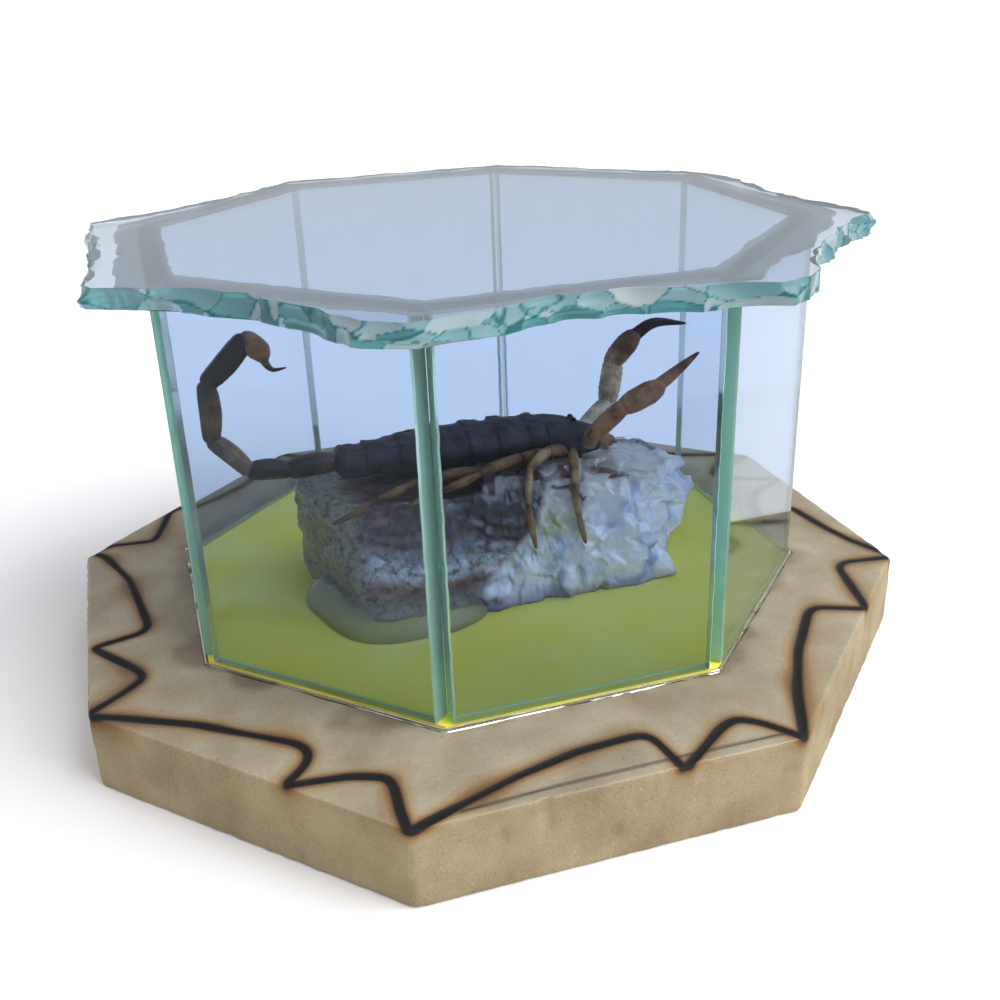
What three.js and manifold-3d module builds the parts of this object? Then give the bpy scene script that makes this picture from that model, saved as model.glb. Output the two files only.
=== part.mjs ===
// A dried scorpion on a lump of quartz rock, in an octagonal glass case on a fibreboard base.
// Millimetres, +Z up. The origin is the middle of the underside, and the front flat faces -Y.
import * as THREE from "three";
import { mergeVertices } from "three/addons/utils/BufferGeometryUtils.js";
import Module from "manifold-3d";

const wasm = await Module();
wasm.setup();

// Gap left wherever one piece is cut to the shape of another
const CLEARANCE = 0.3;
const SMALLEST_EDGE = 0.03;
const SAME_POINT = 1e-4;

// Base board: a hand-sawn octagon, so each corner is measured, from front left round to the right
const BOARD_THICKNESS = 12;
const BOARD_EASE = 0.5;
const BOARD_CORNERS = [
  [-27.8, -65.2], [25.6, -64.8], [65.8, -24.9], [66.0, 27.3],
  [26.2, 65.2], [-27.0, 65.2], [-66.0, 25.7], [-64.9, -26.7],
];

// Glass case: eight panes round a regular octagon, standing on the paper
const PAPER_THICKNESS = 0.5;
const GLASS_THICKNESS = 3;
const PANE_HEIGHT = 54.5;
const CASE_CENTRE = [1.1, 2.5];
const CASE_TURN = THREE.MathUtils.degToRad(0.77);
const CASE_CORNER_RADIUS = 50.2;
const PANE_NAMES = [
  "pane_front", "pane_front_right", "pane_right", "pane_back_right",
  "pane_back", "pane_back_left", "pane_left", "pane_front_left",
];

// Adhesive: the film under the lid spreads furthest at the left and right ends
const FILM_THICKNESS = 0.5;
const FILM_SPREAD = [1.0, 3.4, 1.6, 0.4, 0.3, 0.4, 4.2, 1.6];
const FILM_INSIDE = 0.4;
const FOOT_BEAD = 1.3;

// Lid: corners and hollows of the broken rim, from the left front corner round to the right
const RIM_STEP = 3.6;
const FLAKE_DEPTH = 1.1;
const FLAKES_ROUND_RIM = 31;
const LID_OUTLINE = [
  [-56.6, -21.5], [-46.0, -27.8], [-36.4, -35.2], [-30.3, -45.5], [-27.0, -53.0], [-22.0, -56.2],
  [-14.0, -55.2], [-8.0, -52.6], [-3.0, -51.5], [6.4, -52.2], [15.5, -54.6], [25.0, -56.4],
  [30.4, -51.5], [36.5, -42.0], [43.0, -35.4], [46.0, -31.0], [57.2, -24.2], [53.6, -6.0],
  [54.3, 13.6], [53.4, 23.6], [44.4, 32.4], [38.6, 38.4], [30.6, 46.2], [22.0, 53.2],
  [1.7, 54.2], [-20.0, 53.2], [-29.4, 44.0], [-38.6, 35.6], [-47.5, 29.0], [-57.0, 25.8],
  [-55.2, 10.0], [-55.6, -8.0],
];

// Rock: two blocks grown together, each given by its middle and the flat breaks round it.
// A break is a point on the face and the direction that it looks in.
const ROCK_DETAIL = 5;
const ROCK_LUMP = 0.45;
const DARK_BLOCK = {
  middle: [-4, -1, 21],
  breaks: [
    { at: [0, 0, 29.8], facing: [0.05, -0.03, 1] },
    { at: [-10, -15.6, 18.5], facing: [-0.03, -0.93, 0.37] },
    { at: [-27.0, -6, 24], facing: [-0.96, -0.24, -0.12] },
    { at: [-24, 10.5, 22], facing: [-0.62, 0.76, 0.15] },
    { at: [0, 13, 20], facing: [0.05, 0.93, 0.36] },
    { at: [24, 0, 22], facing: [0.95, 0.1, 0.3] },
  ],
};
const QUARTZ_BLOCK = {
  middle: [20, -3, 19],
  breaks: [
    { at: [20, -4, 28.9], facing: [0.17, -0.1, 0.98] },
    { at: [12, -16.6, 18], facing: [0.1, -0.95, 0.28] },
    { at: [28, -11, 18], facing: [0.6, -0.75, 0.25] },
    { at: [40, 2, 19], facing: [0.9, 0.05, 0.43] },
    { at: [33, 10, 18], facing: [0.5, 0.83, 0.25] },
    { at: [18, 12, 20], facing: [0, 0.95, 0.3] },
    { at: [-3, 0, 20], facing: [-1, 0, 0.1] },
    { at: [35.5, -4, 16], facing: [0.7, -0.3, -0.65] },
  ],
};
const PUDDLE = { middle: [-14.8, -8.2], radii: [15.4, 14.6], height: 4.6 };
const PUDDLE_SIDES = 28;
const PUDDLE_PROFILE = [
  [0, 0], [0.97, 0], [1, 0.1], [0.97, 0.3], [0.88, 0.55], [0.7, 0.8], [0.4, 0.95], [0, 1],
];

// Scorpion: head to the right. Each point is a joint between two stretches of the animal.
const BARREL_PROFILE = [[0, 0], [0, 0.72], [0.12, 0.92], [0.5, 1], [0.86, 0.96], [1, 0.74], [1, 0]];
const BARREL_SIDES = 8;
const LIMB_SIDES = 6;
const LINK_END = 0.7;
const HEAD_FRONT = [21.6, 0, 31.9];
const CARAPACE_BACK = [10.5, 0, 34.0];
const CARAPACE_PROFILE = [[0, 0], [0, 2.6], [0.12, 3.4], [0.5, 4.3], [0.95, 4.9], [1, 4.4], [1, 0]];
const TRUNK_FRONT = [13.0, 0, 33.9];
const TRUNK_BACK = [-23.0, 0, 33.9];
const TRUNK_HALF_WIDTH = 5.3;
const TRUNK_FLATNESS = 0.67;
const TRUNK_SIDES = 12;
const TRUNK_TAIL_END = 2.1;
const TERGITE_COUNT = 7;
const PLATE_STEP = 0.2;
const TAIL_JOINTS = [
  [-22.3, 0, 34.1], [-29.8, 0, 33.9], [-36.3, 0, 34.8],
  [-41.6, 0, 41.0], [-41.2, 0, 49.8], [-35.0, 0, 55.2],
];
const TAIL_RADII = [1.9, 1.75, 1.85, 2.0, 1.95];
const TAIL_HINGE = 0.62;
const STING_BULB_POINTS = [[-35.2, 0, 55.2], [-33.6, 0, 53.0], [-32.5, 0, 51.4]];
const STING_BULB_RADII = [1.3, 1.8, 1.1];
const STING_POINTS = [[-32.7, 0, 52.0], [-32.3, 0, 50.7], [-31.3, 0, 49.9], [-29.9, 0, 50.1]];
const STING_RADII = [0.9, 0.6, 0.4, 0.15];
const NEAR_CLAW = {
  arm: [[18.6, -3.2, 32.2], [17.6, -7.6, 35.6]], armRadius: 1.3,
  patella: [[17.3, -7.6, 35.2], [22.8, -8.5, 40.2]], patellaRadius: 1.55,
  hand: [[22.4, -8.5, 39.9], [29.3, -8.0, 42.5]], handRadius: 1.8,
  fingers: [[28.2, -8.0, 42.1], [32.4, -7.6, 44.6], [36.7, -6.8, 47.1]],
};
const FAR_CLAW = {
  arm: [[19.6, 3.2, 32.2], [25.0, 7.2, 35.4]], armRadius: 1.3,
  patella: [[24.9, 7.2, 35.2], [27.2, 8.6, 41.8]], patellaRadius: 1.6,
  hand: [[27.0, 8.6, 41.4], [31.9, 8.4, 46.7]], handRadius: 1.75,
  fingers: [[31.2, 8.4, 46.0], [35.2, 7.8, 48.4], [40.7, 6.4, 48.1]],
};
const FINGER_RADII = [1.0, 0.76, 0.2];
const FINGER_GAP = 0.35;
const JAW_POINTS = [[20.2, 1.2, 32.0], [24.0, 1.1, 31.2]];
const JAW_RADII = [1.2, 0.85];
const LEG_RADII = [1.0, 0.95, 0.75, 0.55, 0.3];
const LEGS = [
  [[15.4, -4.0, 31.6], [13.2, -10.8, 31.0], [12.0, -14.6, 28.2], [12.0, -16.0, 25.6], [12.6, -17.4, 21.3]],
  [[14.0, -4.0, 31.8], [10.0, -7.5, 33.8], [5.6, -11.0, 32.8], [3.6, -15.8, 28.5], [4.2, -17.5, 21.9]],
  [[11.0, -4.0, 31.8], [5.0, -8.0, 33.4], [-2.5, -10.2, 32.8], [-9.0, -11.6, 31.6], [-14.5, -13.0, 30.2]],
  [[8.0, -4.0, 31.8], [-1.4, -8.0, 32.2], [-10.5, -8.8, 32.8], [-18.5, -11.2, 31.4], [-25.6, -13.2, 29.4]],
  [[15.4, 4.0, 31.6], [18.0, 9.0, 32.5], [20.0, 12.6, 30.0], [21.0, 14.2, 26.0], [21.5, 15.6, 22.5]],
  [[12.5, 4.0, 31.8], [12.0, 10.0, 33.6], [11.0, 13.6, 30.6], [10.5, 14.8, 26.5], [10.8, 16.0, 23.0]],
  [[9.5, 4.0, 31.8], [3.0, 9.5, 33.4], [-3.0, 13.0, 31.6], [-6.5, 14.6, 28.0], [-7.5, 15.8, 24.0]],
  [[6.5, 4.0, 31.8], [-2.0, 9.0, 33.2], [-11.0, 11.2, 32.6], [-18.0, 12.8, 30.6], [-23.5, 14.2, 28.0]],
];

// Heights that follow from the thicknesses
const PAPER_TOP = BOARD_THICKNESS + PAPER_THICKNESS;
const PANE_TOP = PAPER_TOP + PANE_HEIGHT;
const LID_UNDERSIDE = PANE_TOP + FILM_THICKNESS;
const EIGHTH_TURN = Math.PI / 4;
const CASE_INSIDE_APOTHEM = CASE_CORNER_RADIUS * Math.cos(EIGHTH_TURN / 2);
const CASE_OUTSIDE_APOTHEM = CASE_INSIDE_APOTHEM + GLASS_THICKNESS;
const PANE_WIDTH = 2 * CASE_CORNER_RADIUS * Math.sin(EIGHTH_TURN / 2) - CLEARANCE;

// Closed solid for a join or a cut, from any closed geometry
function solidOf(geometry) {
  const bare = geometry.clone();
  bare.deleteAttribute("normal");
  bare.deleteAttribute("uv");
  const merged = mergeVertices(bare, SAME_POINT);
  const corners = [];
  for (let i = 0; i < merged.index.count; i += 3) {
    const [a, b, c] = [0, 1, 2].map((k) => merged.index.getX(i + k));
    if (a !== b && b !== c && c !== a) corners.push(a, b, c);
  }
  const vertProperties = new Float32Array(merged.attributes.position.array);
  const triVerts = new Uint32Array(corners);
  return new wasm.Manifold(new wasm.Mesh({ numProp: 3, vertProperties, triVerts }));
}

// Drawable geometry from a joined or cut solid, without slivers shorter than the smallest edge
function geometryOf(solid) {
  const mesh = solid.simplify(SMALLEST_EDGE).getMesh();
  const geometry = new THREE.BufferGeometry();
  geometry.setAttribute("position", new THREE.BufferAttribute(mesh.vertProperties, 3));
  geometry.setIndex(new THREE.BufferAttribute(mesh.triVerts, 1));
  geometry.computeVertexNormals();
  return geometry;
}

// One solid from several that overlap
function joined(solids) {
  return solids.reduce((sum, next) => sum.add(next));
}

// Largest body of a solid that a cut has left in several
function largestBody(solid) {
  const bodies = solid.decompose();
  return bodies.reduce((best, next) => (next.volume() > best.volume() ? next : best));
}

// Flat outline of straight sides
function outline(points) {
  return new THREE.Shape(points.map(([x, y]) => new THREE.Vector2(x, y)));
}

// Octagon of equal angles, with its flats at the given distances from the middle of the case
function octagon(apothems) {
  return apothems.map((first, i) => {
    const next = apothems[(i + 1) % apothems.length];
    const along = (next - first * Math.cos(EIGHTH_TURN)) / Math.sin(EIGHTH_TURN);
    const angle = i * EIGHTH_TURN - Math.PI / 2;
    const [c, s] = [Math.cos(angle), Math.sin(angle)];
    return [first * c - along * s, first * s + along * c];
  });
}

// Body of revolution about the line from one point to another, flattened where asked.
// Each row of the profile is a fraction of the length and a radius.
function spindle(from, to, profile, { sides = LIMB_SIDES, tall = 1 } = {}) {
  const start = new THREE.Vector3(...from);
  const axis = new THREE.Vector3(...to).sub(start);
  const length = axis.length();
  axis.normalize();
  const points = profile.map(([fraction, radius]) => new THREE.Vector2(radius, fraction * length));
  const sideways = Math.abs(axis.y) > 0.9;
  const up = new THREE.Vector3(0, sideways ? 0 : 1, sideways ? 1 : 0).cross(axis).normalize();
  const side = axis.clone().cross(up);
  const geometry = new THREE.LatheGeometry(points, sides);
  geometry.scale(1, 1, tall);
  geometry.applyMatrix4(new THREE.Matrix4().makeBasis(side, axis, up).setPosition(start));
  return solidOf(geometry);
}

// Barrel with a narrow waist at both ends, such as a tail segment
function barrel(from, to, radius, extra) {
  const profile = BARREL_PROFILE.map(([fraction, swell]) => [fraction, swell * (radius + extra)]);
  return spindle(from, to, profile, { sides: BARREL_SIDES });
}

// Chain of tapered links with round ends through a list of points
function limb(points, radii, extra) {
  const links = [];
  for (let i = 0; i + 1 < points.length; i += 1) {
    const [a, b] = [radii[i] + extra, radii[i + 1] + extra];
    const length = new THREE.Vector3(...points[i]).distanceTo(new THREE.Vector3(...points[i + 1]));
    const [before, after] = [-LINK_END * a / length, 1 + LINK_END * b / length];
    const profile = [[before, 0], [0.02, a], [0.98, b], [after, 0]];
    links.push(spindle(points[i], points[i + 1], profile));
  }
  return joined(links);
}

// Half width of the trunk at a fraction of its length: fullest past the middle, narrow at the tail
function trunkHalfWidth(t) {
  const swell = 0.84 + 0.16 * Math.sin(Math.PI * Math.min(1, 1.25 * t));
  return TRUNK_HALF_WIDTH * (swell - 0.5 * Math.max(0, t - 0.62));
}

// Trunk of the animal: seven overlapping back plates, each a little wider at its hind edge
function trunk(extra) {
  const profile = [[0, 0]];
  for (let i = 0; i < TERGITE_COUNT; i += 1) {
    const front = i / TERGITE_COUNT;
    const back = (i + 1) / TERGITE_COUNT;
    profile.push([front + PLATE_STEP / 50, trunkHalfWidth(front) - PLATE_STEP + extra]);
    profile.push([back - PLATE_STEP / 50, trunkHalfWidth(back) + PLATE_STEP / 2 + extra]);
  }
  profile.push([1, TRUNK_TAIL_END + extra], [1, 0]);
  return spindle(TRUNK_FRONT, TRUNK_BACK, profile, { sides: TRUNK_SIDES, tall: TRUNK_FLATNESS });
}

// Carapace, blunt at the head
function carapace(extra) {
  const profile = CARAPACE_PROFILE.map(([t, r]) => [t, r > 0 ? r + extra : 0]);
  return spindle(HEAD_FRONT, CARAPACE_BACK, profile, { sides: TRUNK_SIDES, tall: TRUNK_FLATNESS });
}

// Claw: arm, patella and hand, with two fingers side by side
function claw(parts, extra) {
  const solids = [
    limb(parts.arm, [parts.armRadius, parts.armRadius], extra),
    barrel(...parts.patella, parts.patellaRadius, extra),
    barrel(...parts.hand, parts.handRadius, extra),
  ];
  for (const side of [-1, 1]) {
    const apart = (i) => side * FINGER_GAP * i;
    const points = parts.fingers.map(([x, y, z], i) => [x + apart(i), y, z - apart(i)]);
    solids.push(limb(points, FINGER_RADII, extra));
  }
  return joined(solids);
}

// Whole animal, with all its skin moved out by the extra
function scorpionSolid(extra) {
  const solids = [trunk(extra), carapace(extra), claw(NEAR_CLAW, extra), claw(FAR_CLAW, extra)];
  TAIL_RADII.forEach((radius, i) => {
    solids.push(barrel(TAIL_JOINTS[i], TAIL_JOINTS[i + 1], radius, extra));
  });
  TAIL_JOINTS.slice(1, -1).forEach(([x, y, z], i) => {
    const radius = TAIL_HINGE * Math.min(TAIL_RADII[i], TAIL_RADII[i + 1]);
    const hinge = [[x - radius / 3, y, z - radius / 4], [x + radius / 3, y, z + radius / 4]];
    solids.push(limb(hinge, [radius, radius], extra));
  });
  solids.push(limb(STING_BULB_POINTS, STING_BULB_RADII, extra));
  solids.push(limb(STING_POINTS, STING_RADII, extra));
  for (const side of [-1, 1]) {
    const flip = ([x, y, z]) => [x, side * y, z];
    solids.push(limb(JAW_POINTS.map(flip), JAW_RADII, extra));
  }
  for (const leg of LEGS) solids.push(limb(leg, LEG_RADII, extra));
  return joined(solids);
}

// Small bumps of a broken stone face, as a smooth function of place
function lump([x, y, z]) {
  const hollows = Math.sin(0.55 * x + 1.3 * Math.sin(0.37 * z)) * Math.sin(0.61 * y + 0.42 * z);
  const layers = Math.sin(1.1 * z + 0.2 * x);
  return hollows + 0.6 * layers;
}

// Rock block: each point of a ball moves out along its own line to the nearest break.
// Its skin can be moved out, and its foot sunk, to cut a hollow that the rock stands in.
function rockBlock(block, extra, sink) {
  const middle = new THREE.Vector3(...block.middle);
  const foot = PAPER_TOP + CLEARANCE - sink;
  const floor = { at: [0, 0, foot + extra], facing: [0, 0, -1] };
  const breaks = [...block.breaks, floor].map(({ at, facing }) => {
    const normal = new THREE.Vector3(...facing).normalize();
    return { normal, reach: new THREE.Vector3(...at).sub(middle).dot(normal) + extra };
  });
  const geometry = new THREE.IcosahedronGeometry(1, ROCK_DETAIL);
  const position = geometry.attributes.position;
  const ray = new THREE.Vector3();
  for (let i = 0; i < position.count; i += 1) {
    ray.fromBufferAttribute(position, i).normalize();
    const reaches = breaks.map(({ normal, reach }) => reach / Math.max(1e-6, ray.dot(normal)));
    const reach = Math.min(...reaches);
    const place = ray.clone().multiplyScalar(reach).add(middle);
    const bump = ray.z < -0.5 ? 0 : ROCK_LUMP * lump(place.toArray());
    ray.multiplyScalar(reach + bump).add(middle);
    position.setXYZ(i, ray.x, ray.y, Math.max(ray.z, foot));
  }
  return solidOf(geometry);
}

// Whole rock
function rockSolid(extra = 0, sink = 0) {
  return rockBlock(DARK_BLOCK, extra, sink).add(rockBlock(QUARTZ_BLOCK, extra, sink));
}

// Puddle of adhesive: a low dome on the paper, hollowed where the rock stands in it
function puddleSolid() {
  const profile = PUDDLE_PROFILE.map(([radius, height]) => new THREE.Vector2(radius, height));
  const geometry = new THREE.LatheGeometry(profile, PUDDLE_SIDES);
  geometry.rotateX(Math.PI / 2);
  geometry.scale(PUDDLE.radii[0], PUDDLE.radii[1], PUDDLE.height);
  geometry.translate(PUDDLE.middle[0], PUDDLE.middle[1], PAPER_TOP);
  return largestBody(solidOf(geometry).subtract(rockSolid(CLEARANCE, PUDDLE.height)));
}

// Lid: the outline in short steps, with flakes broken off the rim on both faces
function lidGeometry() {
  const points = [];
  LID_OUTLINE.forEach((from, i) => {
    const to = LID_OUTLINE[(i + 1) % LID_OUTLINE.length];
    const [a, b] = [new THREE.Vector2(...from), new THREE.Vector2(...to)];
    const steps = Math.max(1, Math.round(a.distanceTo(b) / RIM_STEP));
    for (let k = 0; k < steps; k += 1) points.push(a.clone().lerp(b, k / steps));
  });
  const plate = { depth: GLASS_THICKNESS, steps: 2, bevelEnabled: false };
  const geometry = new THREE.ExtrudeGeometry(new THREE.Shape(points), plate);
  const position = geometry.attributes.position;
  for (let i = 0; i < position.count; i += 1) {
    const [x, y, z] = [position.getX(i), position.getY(i), position.getZ(i)];
    const [angle, level] = [Math.atan2(y, x), z / GLASS_THICKNESS];
    const flake = Math.sin(FLAKES_ROUND_RIM * angle + 2.2 * level);
    const stretch = Math.sin(0.3 * FLAKES_ROUND_RIM * angle - level);
    const inset = FLAKE_DEPTH * (0.5 + 0.5 * flake * stretch) * Math.abs(2 * level - 1);
    const shrink = 1 - inset / Math.hypot(x, y);
    position.setXY(i, x * shrink, y * shrink);
  }
  geometry.computeVertexNormals();
  return geometry;
}

// Flat ring between two octagons
function ringGeometry(outerApothems, innerApothems, depth) {
  const shape = outline(octagon(outerApothems));
  shape.holes.push(outline(octagon(innerApothems)));
  return new THREE.ExtrudeGeometry(shape, { depth, bevelEnabled: false });
}

// Surface finish, see-through where its opacity is under one
function finish(color, roughness, opacity = 1) {
  const transparent = opacity < 1;
  return new THREE.MeshStandardMaterial({ color, roughness, metalness: 0, opacity, transparent });
}

// One named piece, lifted to its height
function named(name, geometry, material, z = 0) {
  const mesh = new THREE.Mesh(geometry, material);
  mesh.name = name;
  mesh.position.z = z;
  return mesh;
}

const fibreboard = finish(0xb8a27c, 0.45);
const paper = finish(0xc9c83a, 0.9);
const glass = finish(0xbfd6e6, 0.05, 0.35);
const adhesive = finish(0xd8e0dc, 0.15, 0.5);
const stone = finish(0x8b8790, 0.4);
const chitin = finish(0x4a352a, 0.35);

const object = new THREE.Group();

const boardGeometry = new THREE.ExtrudeGeometry(outline(BOARD_CORNERS), {
  depth: BOARD_THICKNESS - 2 * BOARD_EASE,
  bevelThickness: BOARD_EASE,
  bevelSize: BOARD_EASE,
  bevelOffset: -BOARD_EASE,
  bevelSegments: 1,
});
object.add(named("base_board", boardGeometry, fibreboard, BOARD_EASE));

const glassCase = new THREE.Group();
glassCase.position.set(CASE_CENTRE[0], CASE_CENTRE[1], 0);
glassCase.rotation.z = CASE_TURN;
object.add(glassCase);

const allRound = (apothem) => PANE_NAMES.map(() => apothem);
const paperShape = outline(octagon(allRound(CASE_OUTSIDE_APOTHEM - CLEARANCE)));
const paperSheet = { depth: PAPER_THICKNESS, bevelEnabled: false };
const paperGeometry = new THREE.ExtrudeGeometry(paperShape, paperSheet);
glassCase.add(named("paper_floor", paperGeometry, paper, BOARD_THICKNESS));

PANE_NAMES.forEach((name, i) => {
  const geometry = new THREE.BoxGeometry(PANE_WIDTH, GLASS_THICKNESS, PANE_HEIGHT);
  geometry.translate(0, -CASE_INSIDE_APOTHEM - GLASS_THICKNESS / 2, PANE_HEIGHT / 2);
  const pane = named(name, geometry, glass, PAPER_TOP);
  pane.rotation.z = i * EIGHTH_TURN;
  glassCase.add(pane);
});

const filmOutside = FILM_SPREAD.map((spread) => CASE_OUTSIDE_APOTHEM + spread);
const filmInside = allRound(CASE_INSIDE_APOTHEM - FILM_INSIDE);
const filmGeometry = ringGeometry(filmOutside, filmInside, FILM_THICKNESS);
glassCase.add(named("lid_glue", filmGeometry, adhesive, PANE_TOP));

const beadInside = CASE_OUTSIDE_APOTHEM + CLEARANCE / 2;
const beadGeometry = ringGeometry(allRound(beadInside + FOOT_BEAD), allRound(beadInside), FOOT_BEAD);
glassCase.add(named("foot_glue", beadGeometry, adhesive, BOARD_THICKNESS));

object.add(named("lid", lidGeometry(), glass, LID_UNDERSIDE));

const rock = largestBody(rockSolid().subtract(scorpionSolid(CLEARANCE)));
object.add(named("rock", geometryOf(rock), stone));
object.add(named("rock_glue", geometryOf(puddleSolid()), adhesive));
object.add(named("scorpion", geometryOf(scorpionSolid(0)), chitin));

export default object;
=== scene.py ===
# %% [markdown]
# # A dried scorpion in a hand-made glass case
# A small eight-sided case: a fibreboard base with a burnt zigzag border, a floor of yellow paper, eight
# panes of window glass, a lid broken to shape by hand, and inside it a scorpion on a lump of stone.
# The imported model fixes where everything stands. Each piece below is computed in millimetres from a few
# named sizes and handed to Blender in metres.

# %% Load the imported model
import math

import bpy
import numpy as np
from mathutils import Matrix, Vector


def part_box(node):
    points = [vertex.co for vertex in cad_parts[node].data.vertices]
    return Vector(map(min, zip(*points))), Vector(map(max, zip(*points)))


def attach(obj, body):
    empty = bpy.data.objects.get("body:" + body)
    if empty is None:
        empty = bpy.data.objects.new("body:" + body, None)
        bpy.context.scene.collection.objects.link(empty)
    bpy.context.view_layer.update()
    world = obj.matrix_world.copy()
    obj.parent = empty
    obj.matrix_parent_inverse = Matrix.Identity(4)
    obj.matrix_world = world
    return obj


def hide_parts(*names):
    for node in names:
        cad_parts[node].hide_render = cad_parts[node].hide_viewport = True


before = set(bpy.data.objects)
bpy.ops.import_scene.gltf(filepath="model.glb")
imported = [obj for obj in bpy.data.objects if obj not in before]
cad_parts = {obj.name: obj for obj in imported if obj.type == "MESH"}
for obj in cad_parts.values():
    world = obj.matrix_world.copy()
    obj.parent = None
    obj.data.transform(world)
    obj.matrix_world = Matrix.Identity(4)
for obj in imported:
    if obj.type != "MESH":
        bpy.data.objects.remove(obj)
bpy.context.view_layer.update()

MM = 0.001
bpy.context.scene.view_settings.view_transform = "Standard"
print("packed nodes:", len(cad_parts))

# %% [markdown]
# ## Arrays into pieces
# Every surface here is a stack of closed rings, so one pair of functions serves them all: the first joins
# the rings with quads and closes both ends with a fan of triangles, the second fills a mesh from arrays.

# %% Rings, meshes and pieces
def capped(rings):
    """Closed surface through a stack of rings: quads join each ring to the next, and a fan of triangles
    joins the first and the last ring to the mean of its own points."""
    rows, columns, _ = rings.shape
    points = np.vstack([rings.reshape(-1, 3), rings[0].mean(0), rings[-1].mean(0)])
    here = np.arange(columns)
    there = np.roll(here, -1)
    row = np.arange(rows - 1)[:, None] * columns
    quads = np.stack([row + here, row + there, row + columns + there, row + columns + here], -1)
    last = (rows - 1) * columns
    first_fan = np.stack([np.full(columns, rows * columns), there, here], -1)
    last_fan = np.stack([np.full(columns, rows * columns + 1), last + here, last + there], -1)
    return points, [quads.reshape(-1, 4), first_fan, last_fan]


def make_piece(name, points, faces, materials, slot, stands_for, which=None, smooth=True, **attributes):
    """Fill one mesh from arrays, points in millimetres, and hand the piece to the frame."""
    corners = np.concatenate([group.ravel() for group in faces]).astype(np.int32)
    sides = np.concatenate([np.full(len(group), group.shape[1]) for group in faces])
    mesh = bpy.data.meshes.new(name)
    mesh.vertices.add(len(points))
    mesh.vertices.foreach_set("co", (points * MM).astype(np.float32).ravel())
    mesh.loops.add(len(corners))
    mesh.loops.foreach_set("vertex_index", corners)
    mesh.polygons.add(len(sides))
    mesh.polygons.foreach_set("loop_start", (np.cumsum(sides) - sides).astype(np.int32))
    for material in materials:
        mesh.materials.append(material)
    if which is not None:
        mesh.polygons.foreach_set("material_index", which.astype(np.int32))
    mesh.polygons.foreach_set("use_smooth", np.broadcast_to(smooth, len(sides)).astype(bool))
    for key, values in attributes.items():
        domain = "FACE" if len(values) == len(sides) else "POINT"
        mesh.attributes.new(key, "FLOAT", domain).data.foreach_set("value", values.astype(np.float32))
    mesh.update(calc_edges=True)
    mesh.validate()
    piece = bpy.data.objects.new(name, mesh)
    bpy.context.scene.collection.objects.link(piece)
    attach(piece, "root")
    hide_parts(*stands_for)
    print(f"{name}: {int((sides - 2).sum())} triangles")
    return piece


# %% [markdown]
# ## Roughness without a picture
# Broken glass, sawn board and stone are all uneven, each at its own size. One smooth random field, read at
# a chosen size in millimetres, gives every one of them its waver.

# %% A smooth random field
def noise(points, size, seed=0):
    """Random field from -1 to 1: a random value at each corner of a lattice with cells of this size,
    blended across the cell by the curve 6t^5 - 15t^4 + 10t^3."""
    place = np.asarray(points) / size + 311.7 * seed
    cell = np.floor(place).astype(np.int64)
    part = place - cell
    part = part ** 3 * (part * (part * 6 - 15) + 10)
    total = np.zeros(place.shape[:-1])
    for corner in np.ndindex(2, 2, 2):
        number = (cell + corner) @ np.array([374761393, 668265263, 1274126177]) + seed * 7919
        number = (number ^ (number >> 13)) * 1103515245
        value = ((number ^ (number >> 16)) & 0xFFFF) / 32767.5 - 1
        total += value * np.prod(np.where(corner, part, 1 - part), axis=-1)
    return total


def rough(points, size, layers, seed=0):
    """Sum of random fields, each half the size and half the strength of the one before."""
    return sum(noise(points, size / 2 ** i, seed + i) / 2 ** i for i in range(layers))


def unit(vectors):
    """The same directions at length one."""
    return vectors / np.linalg.norm(vectors, axis=-1, keepdims=True)


def ramp(value, low, high):
    """0 below low, 1 above high, the curve 3t^2 - 2t^3 between."""
    part = np.clip((value - low) / (high - low), 0, 1)
    return part * part * (3 - 2 * part)


# %% [markdown]
# ## Materials
# Colours are written as the sRGB hex anyone can look at and turned to linear light in one place. One
# function adds a node, sets its own settings, then sets or links its sockets.

# %% Colours and nodes
def linear(code):
    """Linear RGBA from an sRGB hex: each channel over 255, then the sRGB curve undone."""
    channel = np.array([int(code[i:i + 2], 16) for i in (1, 3, 5)]) / 255
    curve = np.where(channel <= 0.04045, channel / 12.92, ((channel + 0.055) / 1.055) ** 2.4)
    return (*curve.tolist(), 1.0)


def add(tree, kind, sockets=None, stops=None, **settings):
    """Add a node: settings are its own properties, sockets are linked when given another node's output
    and set otherwise (a hex becomes a linear colour), stops are a colour ramp's places and colours."""
    made = tree.nodes.new("ShaderNode" + kind)
    for key, value in settings.items():
        setattr(made, key, value)
    for key, value in (sockets or {}).items():
        if isinstance(value, bpy.types.NodeSocket):
            tree.links.new(value, made.inputs[key])
        else:
            made.inputs[key].default_value = linear(value) if isinstance(value, str) else value
    for place, colour in stops or []:
        known = made.color_ramp.elements
        stop = known[0] if place == stops[0][0] else known[-1] if place == stops[-1][0] else known.new(place)
        stop.position = place
        stop.color = linear(colour)
    return made


def new_material(name):
    """An empty material: its tree and the output that its shader is linked to."""
    material = bpy.data.materials.new(name)
    material.use_nodes = True
    material.node_tree.nodes.clear()
    return material, material.node_tree, add(material.node_tree, "OutputMaterial")


# %% [markdown]
# ## Camera, floor and light
# The photo was taken from close by, a little left of the front and from above, with the camera turned a
# degree or two. A pale floor and a bright even room show the glass; one large soft lamp on the right makes
# the right-hand sides of the board the palest, as in the photo.

# %% Camera
LOOK_AT = np.array([4.06, 0.0, 22.43])
AZIMUTH, ELEVATION, ROLL = np.radians([-16.45, 24.26, -2.07])
DISTANCE = 195.81
FOCAL_LENGTH = 41.02

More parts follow.
